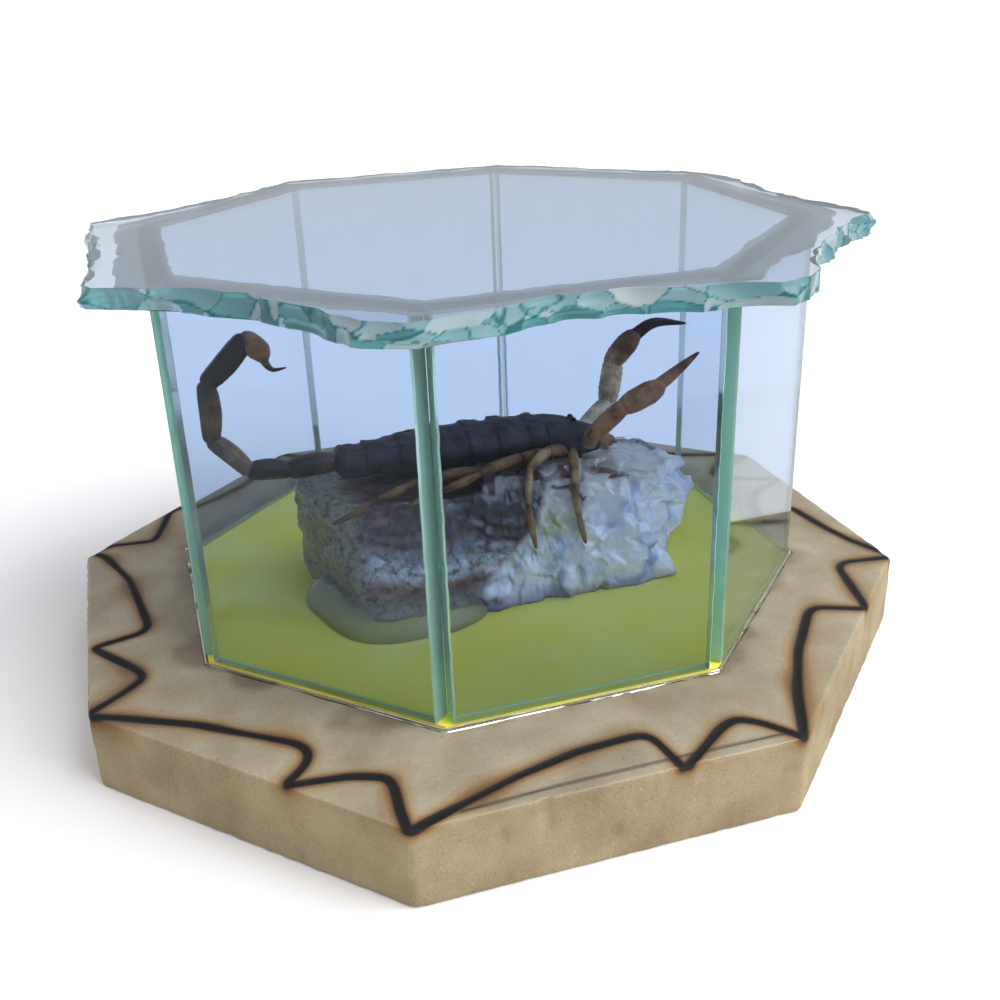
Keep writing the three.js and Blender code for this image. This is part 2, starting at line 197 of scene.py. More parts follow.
back = np.array([math.sin(AZIMUTH) * math.cos(ELEVATION), -math.cos(AZIMUTH) * math.cos(ELEVATION),
                 math.sin(ELEVATION)])
level = np.array([math.cos(AZIMUTH), math.sin(AZIMUTH), 0.0])
right = math.cos(ROLL) * level + math.sin(ROLL) * np.cross(back, level)
lens = bpy.data.cameras.new("camera")
lens.lens = FOCAL_LENGTH
lens.clip_start = 0.005
camera = bpy.data.objects.new("camera", lens)
camera.matrix_world = Matrix.Translation((LOOK_AT + DISTANCE * back) * MM) @ Matrix(
    np.stack([right, np.cross(back, right), back], -1).tolist()).to_4x4()
bpy.context.scene.collection.objects.link(camera)
bpy.context.scene.camera = camera
print("camera at", np.round(LOOK_AT + DISTANCE * back, 1), "mm")

# %% Floor and light
FLOOR_SIZE = 60000.0
BACKDROP_RISE = 700.0
paper_white, tree, output = new_material("white studio paper")
floor_shader = add(tree, "BsdfPrincipled", {"Base Color": "#F8F8F9", "Roughness": 0.9})
tree.links.new(floor_shader.outputs[0], output.inputs[0])
half = FLOOR_SIZE / 2 * MM
sheet = bpy.data.meshes.new("floor")
low = -MM / 20
rise = BACKDROP_RISE * MM
sheet.from_pydata([(-half, -half, low), (half, -half, low), (half, half, low), (-half, half, low),
                   (half, half, rise), (-half, half, rise)], [], [(0, 1, 2, 3), (3, 2, 4, 5)])
sheet.materials.append(paper_white)
floor = bpy.data.objects.new("floor", sheet)
bpy.context.scene.collection.objects.link(floor)

world = bpy.data.worlds.new("bright room")
world.use_nodes = True
world.node_tree.nodes["Background"].inputs["Color"].default_value = linear("#FCFCFD")
world.node_tree.nodes["Background"].inputs["Strength"].default_value = 0.62
bpy.context.scene.world = world

SUN_FROM = np.array([0.62, -0.42, 0.72])
SUN_WIDTH = 55.0

sky_light = bpy.data.lights.new("large soft lamp", "SUN")
sky_light.energy = 3.2
sky_light.angle = math.radians(SUN_WIDTH)
lamp = bpy.data.objects.new("large soft lamp", sky_light)
behind = unit(SUN_FROM)
across = unit(np.cross([0.0, 0.0, 1.0], behind))
lamp.matrix_world = Matrix(np.stack([across, np.cross(behind, across), behind], -1).tolist()).to_4x4()
bpy.context.scene.collection.objects.link(lamp)
print("lamp", SUN_WIDTH, "degrees wide")

# %% [markdown]
# ## The case in plan
# Board, paper, panes, glue and lid all follow one octagon, so its sizes come first. Heights are read from
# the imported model. The panes are cut square and meet only at their inner edges, so each upright corner of
# the case is an open groove.

# %% Sizes of the case
CASE_CENTRE = np.array([1.1, 2.5])
CASE_TURN = math.radians(0.77)
INSIDE_APOTHEM = 46.38
GLASS = 3.0
OUTSIDE_APOTHEM = INSIDE_APOTHEM + GLASS
PANE_WIDTH = 38.4
PANES = ["front", "front_right", "right", "back_right", "back", "back_left", "left", "front_left"]
BOARD_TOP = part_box("base_board")[1][2] / MM
PAPER_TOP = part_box("paper_floor")[1][2] / MM
PANE_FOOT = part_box("pane_front")[0][2] / MM
PANE_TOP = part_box("pane_front")[1][2] / MM
LID_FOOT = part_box("lid")[0][2] / MM
LID_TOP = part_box("lid")[1][2] / MM


def facing(side):
    """Outward direction of a side of the octagon, counted from the front anticlockwise from above."""
    angle = CASE_TURN + side * math.pi / 4
    return np.array([math.sin(angle), -math.cos(angle)])


def octagon_distance(points, apothem):
    """Distance outside an octagon of this apothem round the case's centre, negative inside: the greatest
    of the distances past its eight sides."""
    across = points[..., :2] - CASE_CENTRE
    return np.max([across @ facing(side) for side in range(8)], axis=0) - apothem


print("levels:", BOARD_TOP, PAPER_TOP, PANE_FOOT, PANE_TOP, LID_FOOT, LID_TOP)

# %% [markdown]
# ## The burnt border
# A hot wire or a soldering iron was drawn across the board in long zigzags: each stroke runs out to the
# edge, comes to a point and turns back in. The line is written as its turning points on the board's top,
# and the distance to it decides both the groove and the scorch.

# %% The zigzag line
BURN = {
    "front left": [(-64.3, -26.9), (-60.6, -28.7), (-50.1, -34.3), (-37.7, -43.3), (-36.7, -45.5),
                   (-37.6, -48.1), (-41.0, -51.6), (-38.8, -51.6), (-32.6, -52.3), (-28.1, -54.1),
                   (-27.7, -56.0), (-28.1, -60.9), (-28.0, -64.6)],
    "front": [(-27.5, -64.9), (-19.5, -62.0), (-12.2, -59.4), (-3.2, -57.2), (4.0, -56.8), (6.0, -57.0),
              (6.8, -58.5), (7.7, -64.2), (7.6, -65.5), (11.2, -62.8), (16.0, -59.0), (18.9, -57.7),
              (21.6, -59.6), (25.1, -64.2)],
    "front right": [(25.4, -64.3), (30.1, -54.6), (35.7, -45.5), (42.9, -36.3), (44.8, -35.3),
                    (52.0, -38.6), (55.5, -24.9), (57.3, -23.6), (65.7, -24.8)],
    "right": [(66.1, -24.2), (63.0, -16.8), (61.5, -9.6), (60.5, -0.9), (52.9, -3.1), (54.5, 4.0),
              (58.0, 9.5), (65.8, 13.0), (57.5, 16.5), (56.0, 20.0), (60.0, 24.0), (65.8, 27.0)],
    "back right": [(65.6, 27.6), (56.0, 31.0), (48.0, 36.5), (46.5, 39.0), (49.8, 43.2), (41.0, 43.5),
                   (34.5, 47.5), (29.5, 53.5), (27.5, 58.5), (26.4, 64.8)],
    "back": [(26.0, 64.9), (17.0, 61.8), (9.0, 59.0), (2.0, 57.6), (-1.5, 58.2), (-3.0, 60.5),
             (-3.6, 65.0), (-9.0, 61.0), (-14.5, 58.6), (-19.0, 58.8), (-24.0, 62.0), (-26.8, 64.9)],
    "back left": [(-27.2, 64.7), (-31.0, 57.0), (-36.5, 50.0), (-42.5, 45.0), (-50.9, 40.3),
                  (-53.1, 31.2), (-54.1, 28.0), (-62.0, 28.9), (-65.5, 26.3)],
    "left": [(-65.5, 27.2), (-62.9, 24.9), (-58.7, 13.6), (-56.0, -3.5), (-56.7, -5.6), (-64.6, -7.7),
             (-57.7, -17.1), (-57.0, -19.4), (-60.5, -22.8), (-64.3, -25.8)],
}
PENCIL = [(-21.0, -63.7), (-8.0, -63.0), (8.0, -62.8), (24.5, -63.0)]


def line_distance(points, line):
    """Distance in plan from each point to a line of straight strokes: the least over the strokes of the
    distance to the nearest point of the stroke."""
    line = np.asarray(line)
    nearest = np.full(len(points), np.inf)
    for start, end in zip(line[:-1], line[1:]):
        stroke = end - start
        along = np.clip((points[:, :2] - start) @ stroke / (stroke @ stroke), 0, 1)
        apart = points[:, :2] - start - along[:, None] * stroke
        nearest = np.minimum(nearest, np.linalg.norm(apart, axis=1))
    return nearest


def drawn(line, step=1.0):
    """The line as a hand draws it: points about one step apart along the strokes, then twice each moved to
    the weighted mean of itself and its neighbours (1, 2, 1) with the ends held, which rounds the turns."""
    strokes = list(zip(np.asarray(line[:-1]), np.asarray(line[1:])))
    counts = [max(1, round(np.linalg.norm(b - a) / step)) for a, b in strokes]
    fine = np.vstack([np.linspace(a, b, n, endpoint=False) for (a, b), n in zip(strokes, counts)]
                     + [line[-1]])
    for _ in range(2):
        fine[1:-1] = (fine[:-2] + 2 * fine[1:-1] + fine[2:]) / 4
    return fine


print("burnt strokes:", sum(len(line) - 1 for line in BURN.values()))

# %% [markdown]
# ## Fibreboard
# The base is medium density fibreboard: pressed wood fibre, tan and speckled where the saw left it, and
# here brushed with varnish on top. The varnish makes the top glossy and a little darker, greyer where glue
# and water stained it beside the glass. The burnt line is char, black in the middle, then brown scorch.

# %% Fibreboard materials
def fibreboard(name, dark, plain, pale, fleck, varnish):
    """Speckled board with its burnt line: flecks of this size in mm, varnish of this weight."""
    material, tree, output = new_material(name)
    place = add(tree, "TexCoord").outputs["Object"]
    fibres = add(tree, "TexNoise", {"Vector": place, "Scale": 1 / (fleck * MM), "Detail": 4.0,
                                    "Roughness": 0.7})
    clouds = add(tree, "TexNoise", {"Vector": place, "Scale": 1 / (11 * MM), "Detail": 3.0})
    stain = add(tree, "Attribute", attribute_name="stain")
    char = add(tree, "Attribute", attribute_name="char")
    pencil = add(tree, "Attribute", attribute_name="pencil")
    colour = add(tree, "ValToRGB", {"Fac": fibres.outputs["Fac"]},
                 [(0.30, dark), (0.44, plain), (0.58, plain), (0.72, pale)]).outputs[0]
    layers = [
        (clouds, [(0.34, "#DDD8CF"), (0.62, "#FFFFFF")]),
        (stain, [(0.0, "#FFFFFF"), (1.0, "#CBC5BA")]),
        (char, [(0.0, "#0B0808"), (0.115, "#110D0B"), (0.15, "#4A3018"), (0.22, "#C09668"),
                (0.38, "#F3E2C8"), (0.65, "#FFFFFF")]),
        (pencil, [(0.0, "#5E5A56"), (1.0, "#FFFFFF")]),
    ]
    for source, stops in layers:
        tint = add(tree, "ValToRGB", {"Fac": source.outputs["Fac"]}, stops)
        colour = add(tree, "Mix", {0: 1.0, 6: colour, 7: tint.outputs[0]}, data_type="RGBA",
                     blend_type="MULTIPLY").outputs[2]
    bump = add(tree, "Bump", {"Height": fibres.outputs["Fac"], "Strength": 0.5, "Distance": 0.12 * MM})
    gloss = add(tree, "MapRange", {"Value": char.outputs["Fac"], "From Min": 0.09, "From Max": 0.19,
                                   "To Min": 0.0, "To Max": varnish})
    shader = add(tree, "BsdfPrincipled", {"Base Color": colour, "Roughness": 0.8, "Normal": bump.outputs[0],
                                          "Coat Weight": gloss.outputs[0], "Coat Roughness": 0.16})
    tree.links.new(shader.outputs[0], output.inputs[0])
    return material


# Varnished face: tan with grey, a wet-looking gloss over fine fibres.
varnished_board = fibreboard("varnished fibreboard", "#93876F", "#AA9D84", "#B9AE98", 0.6, 0.6)
# Sawn edge: paler, dry and speckled with loose fibre ends.
sawn_board = fibreboard("sawn fibreboard", "#7C6D52", "#A08F6F", "#BBAD8F", 0.3, 0.0)

# %% [markdown]
# ## The base board
# One board, sawn to eight unequal sides by hand. Its surface is a stack of copies of the outline: out
# across the underside, up the sawn edge, over a sanded arris and back in across the top, close enough
# together on the top that the burnt groove can be sunk into them.

# %% Board
BOARD_CORNERS = np.array([(-27.8, -65.2), (25.6, -64.8), (65.8, -24.9), (66.0, 27.3), (26.2, 65.2),
                          (-27.0, 65.2), (-66.0, 25.7), (-64.9, -26.7)])
BOARD_REACH = 65.0
OUTLINE_STEP = 0.4
GROOVE_DEPTH = 0.16
SCORCH_REACH = 4.0
EDGE_ROWS = 16
TOP_STEP = 0.36


def walk(corners, step, soften):
    """Points along a closed outline about one step apart, then each moved to the weighted mean of itself
    and its neighbours (1, 2, 1) as many times as soften says, which rounds the corners."""
    ends = np.roll(corners, -1, axis=0)
    counts = [max(2, round(np.linalg.norm(b - a) / step)) for a, b in zip(corners, ends)]
    line = np.vstack([np.linspace(a, b, n, endpoint=False) for a, b, n in zip(corners, ends, counts)])
    for _ in range(soften):
        line = (np.roll(line, 1, axis=0) + 2 * line + np.roll(line, -1, axis=0)) / 4
    return line


def board_surface():
    """Stack of copies of the outline, each drawn in by its inset over the board's reach and set at its own
    height: out under the board, up the sawn edge, over the arris, then in across the top."""
    outline = walk(BOARD_CORNERS, OUTLINE_STEP, 3)
    top_insets = np.arange(0.8, 21.0, TOP_STEP)
    insets = np.concatenate([[40.0, 0.5, 0.15], np.zeros(EDGE_ROWS), [0.05, 0.18, 0.45], top_insets, [40.0]])
    heights = np.concatenate([[0.0, 0.0, 0.12], np.linspace(0.45, BOARD_TOP - 0.6, EDGE_ROWS),
                              BOARD_TOP - np.array([0.35, 0.14, 0.02]),
                              np.full(len(top_insets) + 1, BOARD_TOP)])
    rings = np.empty((len(insets), len(outline), 3))
    rings[..., :2] = outline * (1 - insets / BOARD_REACH)[:, None, None]
    rings[..., 2] = heights[:, None]
    return rings


board = board_surface()
flat = board.reshape(-1, 3)
burn = np.min([line_distance(flat, drawn(line)) for line in BURN.values()], axis=0)
burn = np.maximum(0, burn - 0.14 * noise(flat, 6.0, seed=13))
depth_down = BOARD_TOP - flat[:, 2]
waver = 1 + 0.0014 * rough(flat, 1.6, 2, seed=3) - 0.004 * ramp(noise(flat, 3.0, seed=5), 0.55, 0.9)
flat[:, :2] *= np.where(depth_down > 0.1, waver, 1.0)[:, None]
flat[:, 2] -= np.where(depth_down < 0.5, GROOVE_DEPTH * (1 - ramp(burn, 0.25, 0.75)), 0.0)
points, faces = capped(board)
pad = np.zeros(2)
scorch = np.hypot(burn, 0.9 * depth_down) / SCORCH_REACH
scorch = np.where(scorch < 0.16, scorch, 0.16 + (scorch - 0.16) * (1 + 0.7 * noise(flat, 7.0, seed=15)))
char = np.append(np.clip(scorch, 0, 1), pad + 1)
foot_distance = octagon_distance(flat, OUTSIDE_APOTHEM)
stain = np.append(ramp(4.0 + 4.0 * rough(flat, 9.0, 3, seed=8) - foot_distance, 0.0, 5.0), pad)
pencil = np.append(np.clip(line_distance(flat, PENCIL) / 0.5 + depth_down, 0, 1), pad + 1)
rows, columns, _ = board.shape
on_top = np.repeat(np.arange(rows - 1) >= EDGE_ROWS + 4, columns)
board_faces = np.concatenate([~on_top, np.ones(columns), np.zeros(columns)])
make_piece("board", points, faces, [varnished_board, sawn_board], "fibreboard", ["base_board"],
           which=board_faces, char=char, stain=stain, pencil=pencil)

# %% [markdown]
# ## The paper floor
# A sheet of lemon-yellow paper is glued on before the glass goes up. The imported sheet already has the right
# shape, so it only takes a better finish: matt, fibrous, dulled in patches by the glue.

# %% Paper
# Dyed paper: a flat lemon yellow with soft darker clouds.
yellow_paper, tree, output = new_material("yellow paper")
place = add(tree, "TexCoord").outputs["Object"]
clouds = add(tree, "TexNoise", {"Vector": place, "Scale": 1 / (14 * MM), "Detail": 5.0})
fibres = add(tree, "TexNoise", {"Vector": place, "Scale": 1 / (0.5 * MM), "Detail": 3.0})
dye = add(tree, "ValToRGB", {"Fac": clouds.outputs["Fac"]}, [(0.35, "#FFF25E"), (0.65, "#FFFA84")])
bump = add(tree, "Bump", {"Height": fibres.outputs["Fac"], "Strength": 0.4, "Distance": 0.06 * MM})
shader = add(tree, "BsdfPrincipled", {"Base Color": dye.outputs[0], "Roughness": 0.9,
                                      "Normal": bump.outputs[0]})
tree.links.new(shader.outputs[0], output.inputs[0])
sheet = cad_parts["paper_floor"].data
sheet.materials.clear()
sheet.materials.append(yellow_paper)
print("paper", round(sheet.vertices[0].co.z / MM, 2), "mm up")

# %% [markdown]
# ## Window glass
# Old window glass about 3 mm thick: nearly clear through its face, with a cool tint, and sea-green where
# one looks along it through a cut edge. The green is absorption inside the glass; the cut edges are finely
# frosted, which one number per face tells the material. The foot, set in glue, is painted opaque with the
# yellow of the paper seen through it, a painted view. On the lid's broken rim each flake is painted its own
# brightness, with painted shade along the ridges between flakes, and the palest flakes are painted
# highlights.

# %% Glass material
# Soda-lime glass: index 1.52, iron absorbs red, a faint blue cast, cut edges matt and greener. A second
# number per face carries painted light: the paper's yellow painted on the foot, and each lid flake's painted
# brightness, dark at the ridges as painted shade and near white as painted highlight.
window_glass, tree, output = new_material("soda-lime window glass")
cut = add(tree, "Attribute", attribute_name="cut").outputs["Fac"]
flake = add(tree, "Attribute", attribute_name="flake").outputs["Fac"]
# Painted light on the glass: 0.04 paints the paper's yellow on the foot, 0.12 is painted shade on the rim's
# ridges, and the brightest flakes run to near white as painted highlights.
edge_green_and_painted_light = add(tree, "ValToRGB", {"Fac": flake}, [(0.0, "#B6E6DC"), (0.04, "#DEDA4E"), (0.08, "#B6E6DC"),
                                                   (0.12, "#43909A"),
                                                   (0.40, "#78BCC8"), (0.70, "#B2DFEA"), (1.0, "#EAF8FF")])
tint = add(tree, "Mix", {0: cut, 6: "#D3DDF0", 7: edge_green_and_painted_light.outputs[0]}, data_type="RGBA")
matt = add(tree, "MapRange", {"Value": cut, "To Min": 0.0, "To Max": 0.15})
clear = add(tree, "MapRange", {"Value": cut, "To Min": 1.0, "To Max": 0.6}, clamp=False)
shader = add(tree, "BsdfPrincipled", {"Base Color": tint.outputs[2], "Roughness": matt.outputs[0],
                                      "IOR": 1.52, "Specular Tint": "#484848",
                                      "Transmission Weight": clear.outputs[0]})
body = add(tree, "VolumeAbsorption", {"Color": (0.25, 0.71, 0.64, 1.0), "Density": 24.0})
tree.links.new(shader.outputs[0], output.inputs["Surface"])
tree.links.new(body.outputs[0], output.inputs["Volume"])

# %% [markdown]
# ## The eight panes
# Each pane is a plain strip, scored and snapped. Its outline in plan is a rectangle with a small bevel on
# every arris; carried up from foot to top, with a little waver where the snap left the edge uneven.

# %% Panes
BEVEL = 0.25
ARRIS = 0.05
PANE_RINGS = 64
# Number for the glued foot face: it makes the foot opaque and paints it the yellow of the paper seen through
# it, a painted view.
GLUED_FOOT_PAINTED_PAPER = 2.5
FOOT_BEVEL = 2.0
CHIP_DEPTH = 0.14
half = PANE_WIDTH / 2
profile = np.array([(GLASS, BEVEL - half), (GLASS, half - BEVEL), (GLASS - BEVEL, half), (ARRIS, half),
                    (0.0, half - ARRIS), (0.0, ARRIS - half), (ARRIS, -half), (GLASS - BEVEL, -half)])
edge_columns = np.array([0, 1, 1, 1, 0, 1, 1, 1])
chipped_columns = np.array([1, 1, 1, 0, 0, 0, 0, 1])
levels = np.concatenate([[PANE_FOOT + 0.02], np.linspace(PANE_FOOT + BEVEL, PANE_TOP - BEVEL, PANE_RINGS),
                         [PANE_TOP - 0.02]])
shrink = np.where((levels < PANE_FOOT + 0.1) | (levels > PANE_TOP - 0.1), BEVEL, 0.0)


def pane_surface(side):
    """The plan, a rectangle with bevelled corners, carried straight up: drawn in by the bevel at foot and
    top, its outer arrises set back by a random field of the height."""
    out = facing(side)
    along = np.array([-out[1], out[0]])
    spread = np.sign(profile - [GLASS / 2, 0.0])
    ring = profile[None] - spread[None] * shrink[:, None, None]
    chips = noise(np.stack([levels, np.full(len(levels), 40.0 * side), 0 * levels], -1), 1.8, seed=side)
    ring[:, :, 1] -= spread[:, 1] * chipped_columns * CHIP_DEPTH * (0.5 + 0.5 * chips[:, None])
    pane = np.empty((len(levels), len(profile), 3))
    pane[..., :2] = CASE_CENTRE + (INSIDE_APOTHEM + ring[..., :1]) * out + ring[..., 1:] * along
    pane[..., 2] = levels[:, None]
    return pane


# Per-face numbers: cut edges, the top, the foot bevel, and the glued foot painted with the paper's yellow as
# a painted view through the glass.
cut = np.tile(edge_columns, (len(levels) - 1, 1)).astype(float)
cut[-1] = 1
cut[0] = FOOT_BEVEL
cut = np.concatenate([cut.ravel(), np.full(len(profile), GLUED_FOOT_PAINTED_PAPER), np.ones(len(profile))])
for side, name in enumerate(PANES):
    points, faces = capped(pane_surface(side))
    make_piece("glass_" + name, points, faces, [window_glass], "glass", ["pane_" + name],
               smooth=False, cut=cut, flake=0.04 * (cut == GLUED_FOOT_PAINTED_PAPER))

# %% [markdown]
# ## The lid
# The lid was nibbled to shape with pliers: its outline is uneven and its rim is all shell-shaped flakes.
# The rim is a grid of (way round, height); at each place it is set back by the deepest of many shallow
# bowls, so neighbouring flakes meet in sharp ridges as they do on real broken glass.

# %% Lid
LID_OUTLINE = np.array([
    (-56.6, -21.5), (-46, -27.8), (-36.4, -35.2), (-30.3, -45.5), (-27, -53), (-22, -56.2), (-14, -55.2),
    (-8, -52.6), (-3, -51.5), (6.4, -52.2), (15.5, -54.6), (25, -56.4), (30.4, -51.5), (36.5, -42),
    (43, -35.4), (46, -31), (57.2, -24.2), (53.6, -6), (54.3, 13.6), (53.4, 23.6), (44.4, 32.4),
    (38.6, 38.4), (30.6, 46.2), (22, 53.2), (1.7, 54.2), (-20, 53.2), (-29.4, 44), (-38.6, 35.6),
    (-47.5, 29), (-57, 25.8), (-55.2, 10), (-55.6, -8)])
RIM_STEP = 0.33
RIM_LEVELS = 15
FLAKES = 420
FLAKE_LENGTH = (0.9, 6.5)
FLAKE_DEPTH = (0.15, 2.0)
# Tone where no flake was struck, and the painted shade laid along the ridges between flakes.
PLAIN_TONE, RIDGE_PAINTED_SHADE = 0.75, 0.12


def broken_rim(way, tall):
    """Set-back and painted tone over (height t, way s): the set-back is the greatest of many bowls, each
    d (1 - (s / l)^2 - ((t - h) / r)^2) about its own middle; the tone, painted light and shade, is the
    random brightness of the deepest bowl, with painted shade along the ridges where the next bowl is
    nearly as deep."""
    random = np.random.default_rng(7)
    centre = random.uniform(0, way[-1], FLAKES)
    length = FLAKE_LENGTH[0] + (FLAKE_LENGTH[1] - FLAKE_LENGTH[0]) * random.random(FLAKES) ** 2
    depth = np.minimum(FLAKE_DEPTH[0] + 0.38 * length * random.uniform(0.3, 1.0, FLAKES), FLAKE_DEPTH[1])
    height = np.where(random.random(FLAKES) < 0.6, 1.0, 0.0) + random.normal(0, 0.22, FLAKES)
    reach = random.uniform(0.3, 0.85, FLAKES)
    # Each flake's own painted brightness: painted light and shade standing in for how its facet catches
    # light.
    shade = random.uniform(0.35, 1.0, FLAKES)
    setback = np.zeros((len(tall), len(way)))
    runner_up = np.zeros_like(setback)
    tone = np.full_like(setback, PLAIN_TONE)
    for c, l, d, h, r, s in zip(centre, length, depth, height, reach, shade):
        apart = (way - c + way[-1] / 2) % way[-1] - way[-1] / 2
        bowl = d * (1 - (apart[None] / l) ** 2 - ((tall[:, None] - h) / r) ** 2)
        runner_up = np.maximum(runner_up, np.minimum(setback, bowl))
        tone = np.where(bowl > setback, s, tone)
        setback = np.maximum(setback, bowl)
    return setback, RIDGE_PAINTED_SHADE + (tone - RIDGE_PAINTED_SHADE) * ramp(setback - runner_up, 0.0, 0.12)


def lid_surface(outline, setback, tall):
    """The rim's rings, the outline drawn in by the set-back at each height, between two rings on the
    underside and two on the top."""
    inner = outline * (1 - 4.5 / 55)
    distance = np.linalg.norm(outline, axis=1)
    foot = LID_FOOT + 0.03
    rings = np.empty((len(tall) + 4, len(outline), 3))
    rings[2:-2, :, :2] = outline[None] * (1 - setback / distance)[..., None]
    rings[2:-2, :, 2] = foot + (LID_TOP - foot) * tall[:, None]
    rings[[0, 1], :, 2] = foot
    rings[[-2, -1], :, 2] = LID_TOP
    rings[[1, -2], :, :2] = inner
    rings[[0, -1], :, :2] = inner * 0.4
    return rings


lid_outline = walk(LID_OUTLINE, RIM_STEP, 6)
way = np.arange(len(lid_outline)) * RIM_STEP
tall = np.linspace(0.0, 1.0, RIM_LEVELS)
setback, rim_painted_light = broken_rim(way, tall)
lid = lid_surface(lid_outline, setback, tall)
points, faces = capped(lid)
rim_rows = np.zeros(RIM_LEVELS + 3)
rim_rows[2:-2] = 1
cut = np.concatenate([np.repeat(rim_rows, len(way)), np.zeros(2 * len(way))])
plain = np.full(2 * len(way) + 2, PLAIN_TONE)
flake = np.concatenate([plain[2:], rim_painted_light.ravel(), plain])
make_piece("glass_lid", points, faces, [window_glass], "glass", ["lid"], smooth=cut > 0, cut=cut,
           flake=flake)

# %% [markdown]
# ## The clear glue
# The panes and the lid are held by clear glue: a squeezed film under the lid that spreads past the panes,
# widest at the two ends, and a thin bead round their feet. Both are small sections carried round the
# octagon.

# %% Glue
def adhesive(name, colour, roughness, clearness):
    """Cured clear adhesive, index 1.47: its colour, roughness and how much of it is clear."""
    material, tree, output = new_material(name)
    shader = add(tree, "BsdfPrincipled", {"Base Color": colour, "Roughness": roughness, "IOR": 1.47,
                                          "Specular Tint": "#A0A0A0", "Transmission Weight": clearness})
    tree.links.new(shader.outputs[0], output.inputs[0])
    return material


# Squeezed film: cloudy, grey-green where it lies on the cut glass.
film_glue = adhesive("cloudy adhesive film", "#C4D2CA", 0.15, 0.8)
# Beads and pools: clear and smooth, a highlight and a bent view of what lies under them.
clear_glue = adhesive("clear adhesive", "#F4F7F6", 0.05, 1.0)
# The pool under the stone: thick enough to look milky grey.
pool_glue = adhesive("milky adhesive", "#E4E9E7", 0.06, 0.86)

FILM_SPREAD = [1.0, 3.4, 1.6, 0.4, 0.3, 0.4, 4.2, 1.6]
GLUE_STEPS = 900


def looped(rings):
    """Closed ring-shaped surface: quads join each section to the next and the last to the first."""
    rows, columns, _ = rings.shape
    row = np.arange(rows)[:, None] * columns
    after = np.roll(row, -1, axis=0)
    here = np.arange(columns)
    there = np.roll(here, -1)
    quads = np.stack([row + here, row + there, after + there, after + here], -1)
    return rings.reshape(-1, 3), [quads.reshape(-1, 4)]


def round_the_case(apothems, heights):
    """Sections carried round the octagon: at each angle the radius is the apothem over the cosine of the
    angle from the middle of its side."""
    angle = np.arange(len(apothems)) * 2 * math.pi / len(apothems)
    turn = (angle + math.pi / 8) % (math.pi / 4) - math.pi / 8
    radius = apothems / np.cos(turn)[:, None]
    aim = CASE_TURN + angle - math.pi / 2
    rings = np.empty((*apothems.shape, 3))
    rings[..., 0] = CASE_CENTRE[0] + radius * np.cos(aim)[:, None]
    rings[..., 1] = CASE_CENTRE[1] + radius * np.sin(aim)[:, None]
    rings[..., 2] = heights
    return rings


step = np.arange(GLUE_STEPS) / GLUE_STEPS * 8
circle = np.stack([np.cos(step * math.pi / 4), np.sin(step * math.pi / 4), 0 * step], -1)
spread = np.interp(step, np.arange(9), FILM_SPREAD + FILM_SPREAD[:1])
outer = OUTSIDE_APOTHEM + spread * (1 + 0.5 * rough(circle, 0.16, 3, seed=21)) + 0.2
inner = INSIDE_APOTHEM - 0.3 - 0.7 * np.abs(rough(circle, 0.12, 3, seed=31))
film_low, film_high = PANE_TOP + 0.03, LID_FOOT - 0.03
apothems = np.stack([inner, inner, outer, outer], -1)
levels = np.broadcast_to([film_low, film_high, film_high, film_low], apothems.shape)
points, faces = looped(round_the_case(apothems, levels))
make_piece("glue_film", points, faces, [film_glue], "adhesive", ["lid_glue"], smooth=False)

wide = 0.42 + 0.16 * rough(circle, 0.10, 3, seed=41)
high = 0.32 + 0.12 * rough(circle, 0.12, 3, seed=51)
turned = np.linspace(0, math.pi / 2, 5)
apothems = OUTSIDE_APOTHEM + 0.06 + np.concatenate(
    [np.zeros((GLUE_STEPS, 1)), wide[:, None] * np.sin(turned)], axis=1)
levels = BOARD_TOP + 0.03 + np.concatenate(
    [np.zeros((GLUE_STEPS, 1)), high[:, None] * np.cos(turned)], axis=1)
points, faces = looped(round_the_case(apothems, levels))
make_piece("glue_bead", points, faces, [clear_glue], "adhesive", ["foot_glue"])

# %% [markdown]
# ## The stone
# A broken lump of layered stone: dark, banded rock at the left and a mass of icy quartz at the right, where
# one vein crossed it. Each half is cut by a few flat breaks, and both hold one point between them, so the
# distance from that point to the surface is, in each direction, the further of two nearest breaks. Small
# chips take off the corners, ledges follow the layers and a fine roughness covers all.

# %% Stone shape
STONE_MIDDLE = np.array([8.0, -2.0, 20.0])
DARK_BREAKS = [((0, 0, 29.8), (0.05, -0.03, 1)), ((-10, -15.6, 18.5), (-0.03, -0.93, 0.37)),
               ((-27, -6, 24), (-0.96, -0.24, -0.12)), ((-24, 10.5, 22), (-0.62, 0.76, 0.15)),
               ((0, 13, 20), (0.05, 0.93, 0.36)), ((24, 0, 22), (0.95, 0.1, 0.3)),
               ((0, 0, 12.6), (0, 0, -1))]
QUARTZ_BREAKS = [((20, -4, 28.9), (0.17, -0.1, 0.98)), ((12, -16.3, 18), (-0.06, -0.95, 0.28)),
                 ((28, -11, 18), (0.6, -0.75, 0.25)), ((40, 2, 19), (0.9, 0.05, 0.43)),
                 ((33, 10, 18), (0.5, 0.83, 0.25)), ((18, 12, 20), (0, 0.95, 0.3)),
                 ((-3, 0, 20), (-1, 0, 0.1)), ((35.5, -4, 16), (0.7, -0.3, -0.65)),
                 ((0, 0, 12.6), (0, 0, -1))]
STONE_ROWS, STONE_COLUMNS = 250, 270
CHIPS = 90
SEAM = 2.4
LEDGE_STEP = 2.3
FACES = 520
# Place and reach of a painted glow on the quartz: the paper's yellow painted as light shining through.
PAINTED_GLOW_PLACE = np.array([8.2, -16.5, 24.3])
PAINTED_GLOW_REACH = np.array([3.2, 5.0, 2.0])


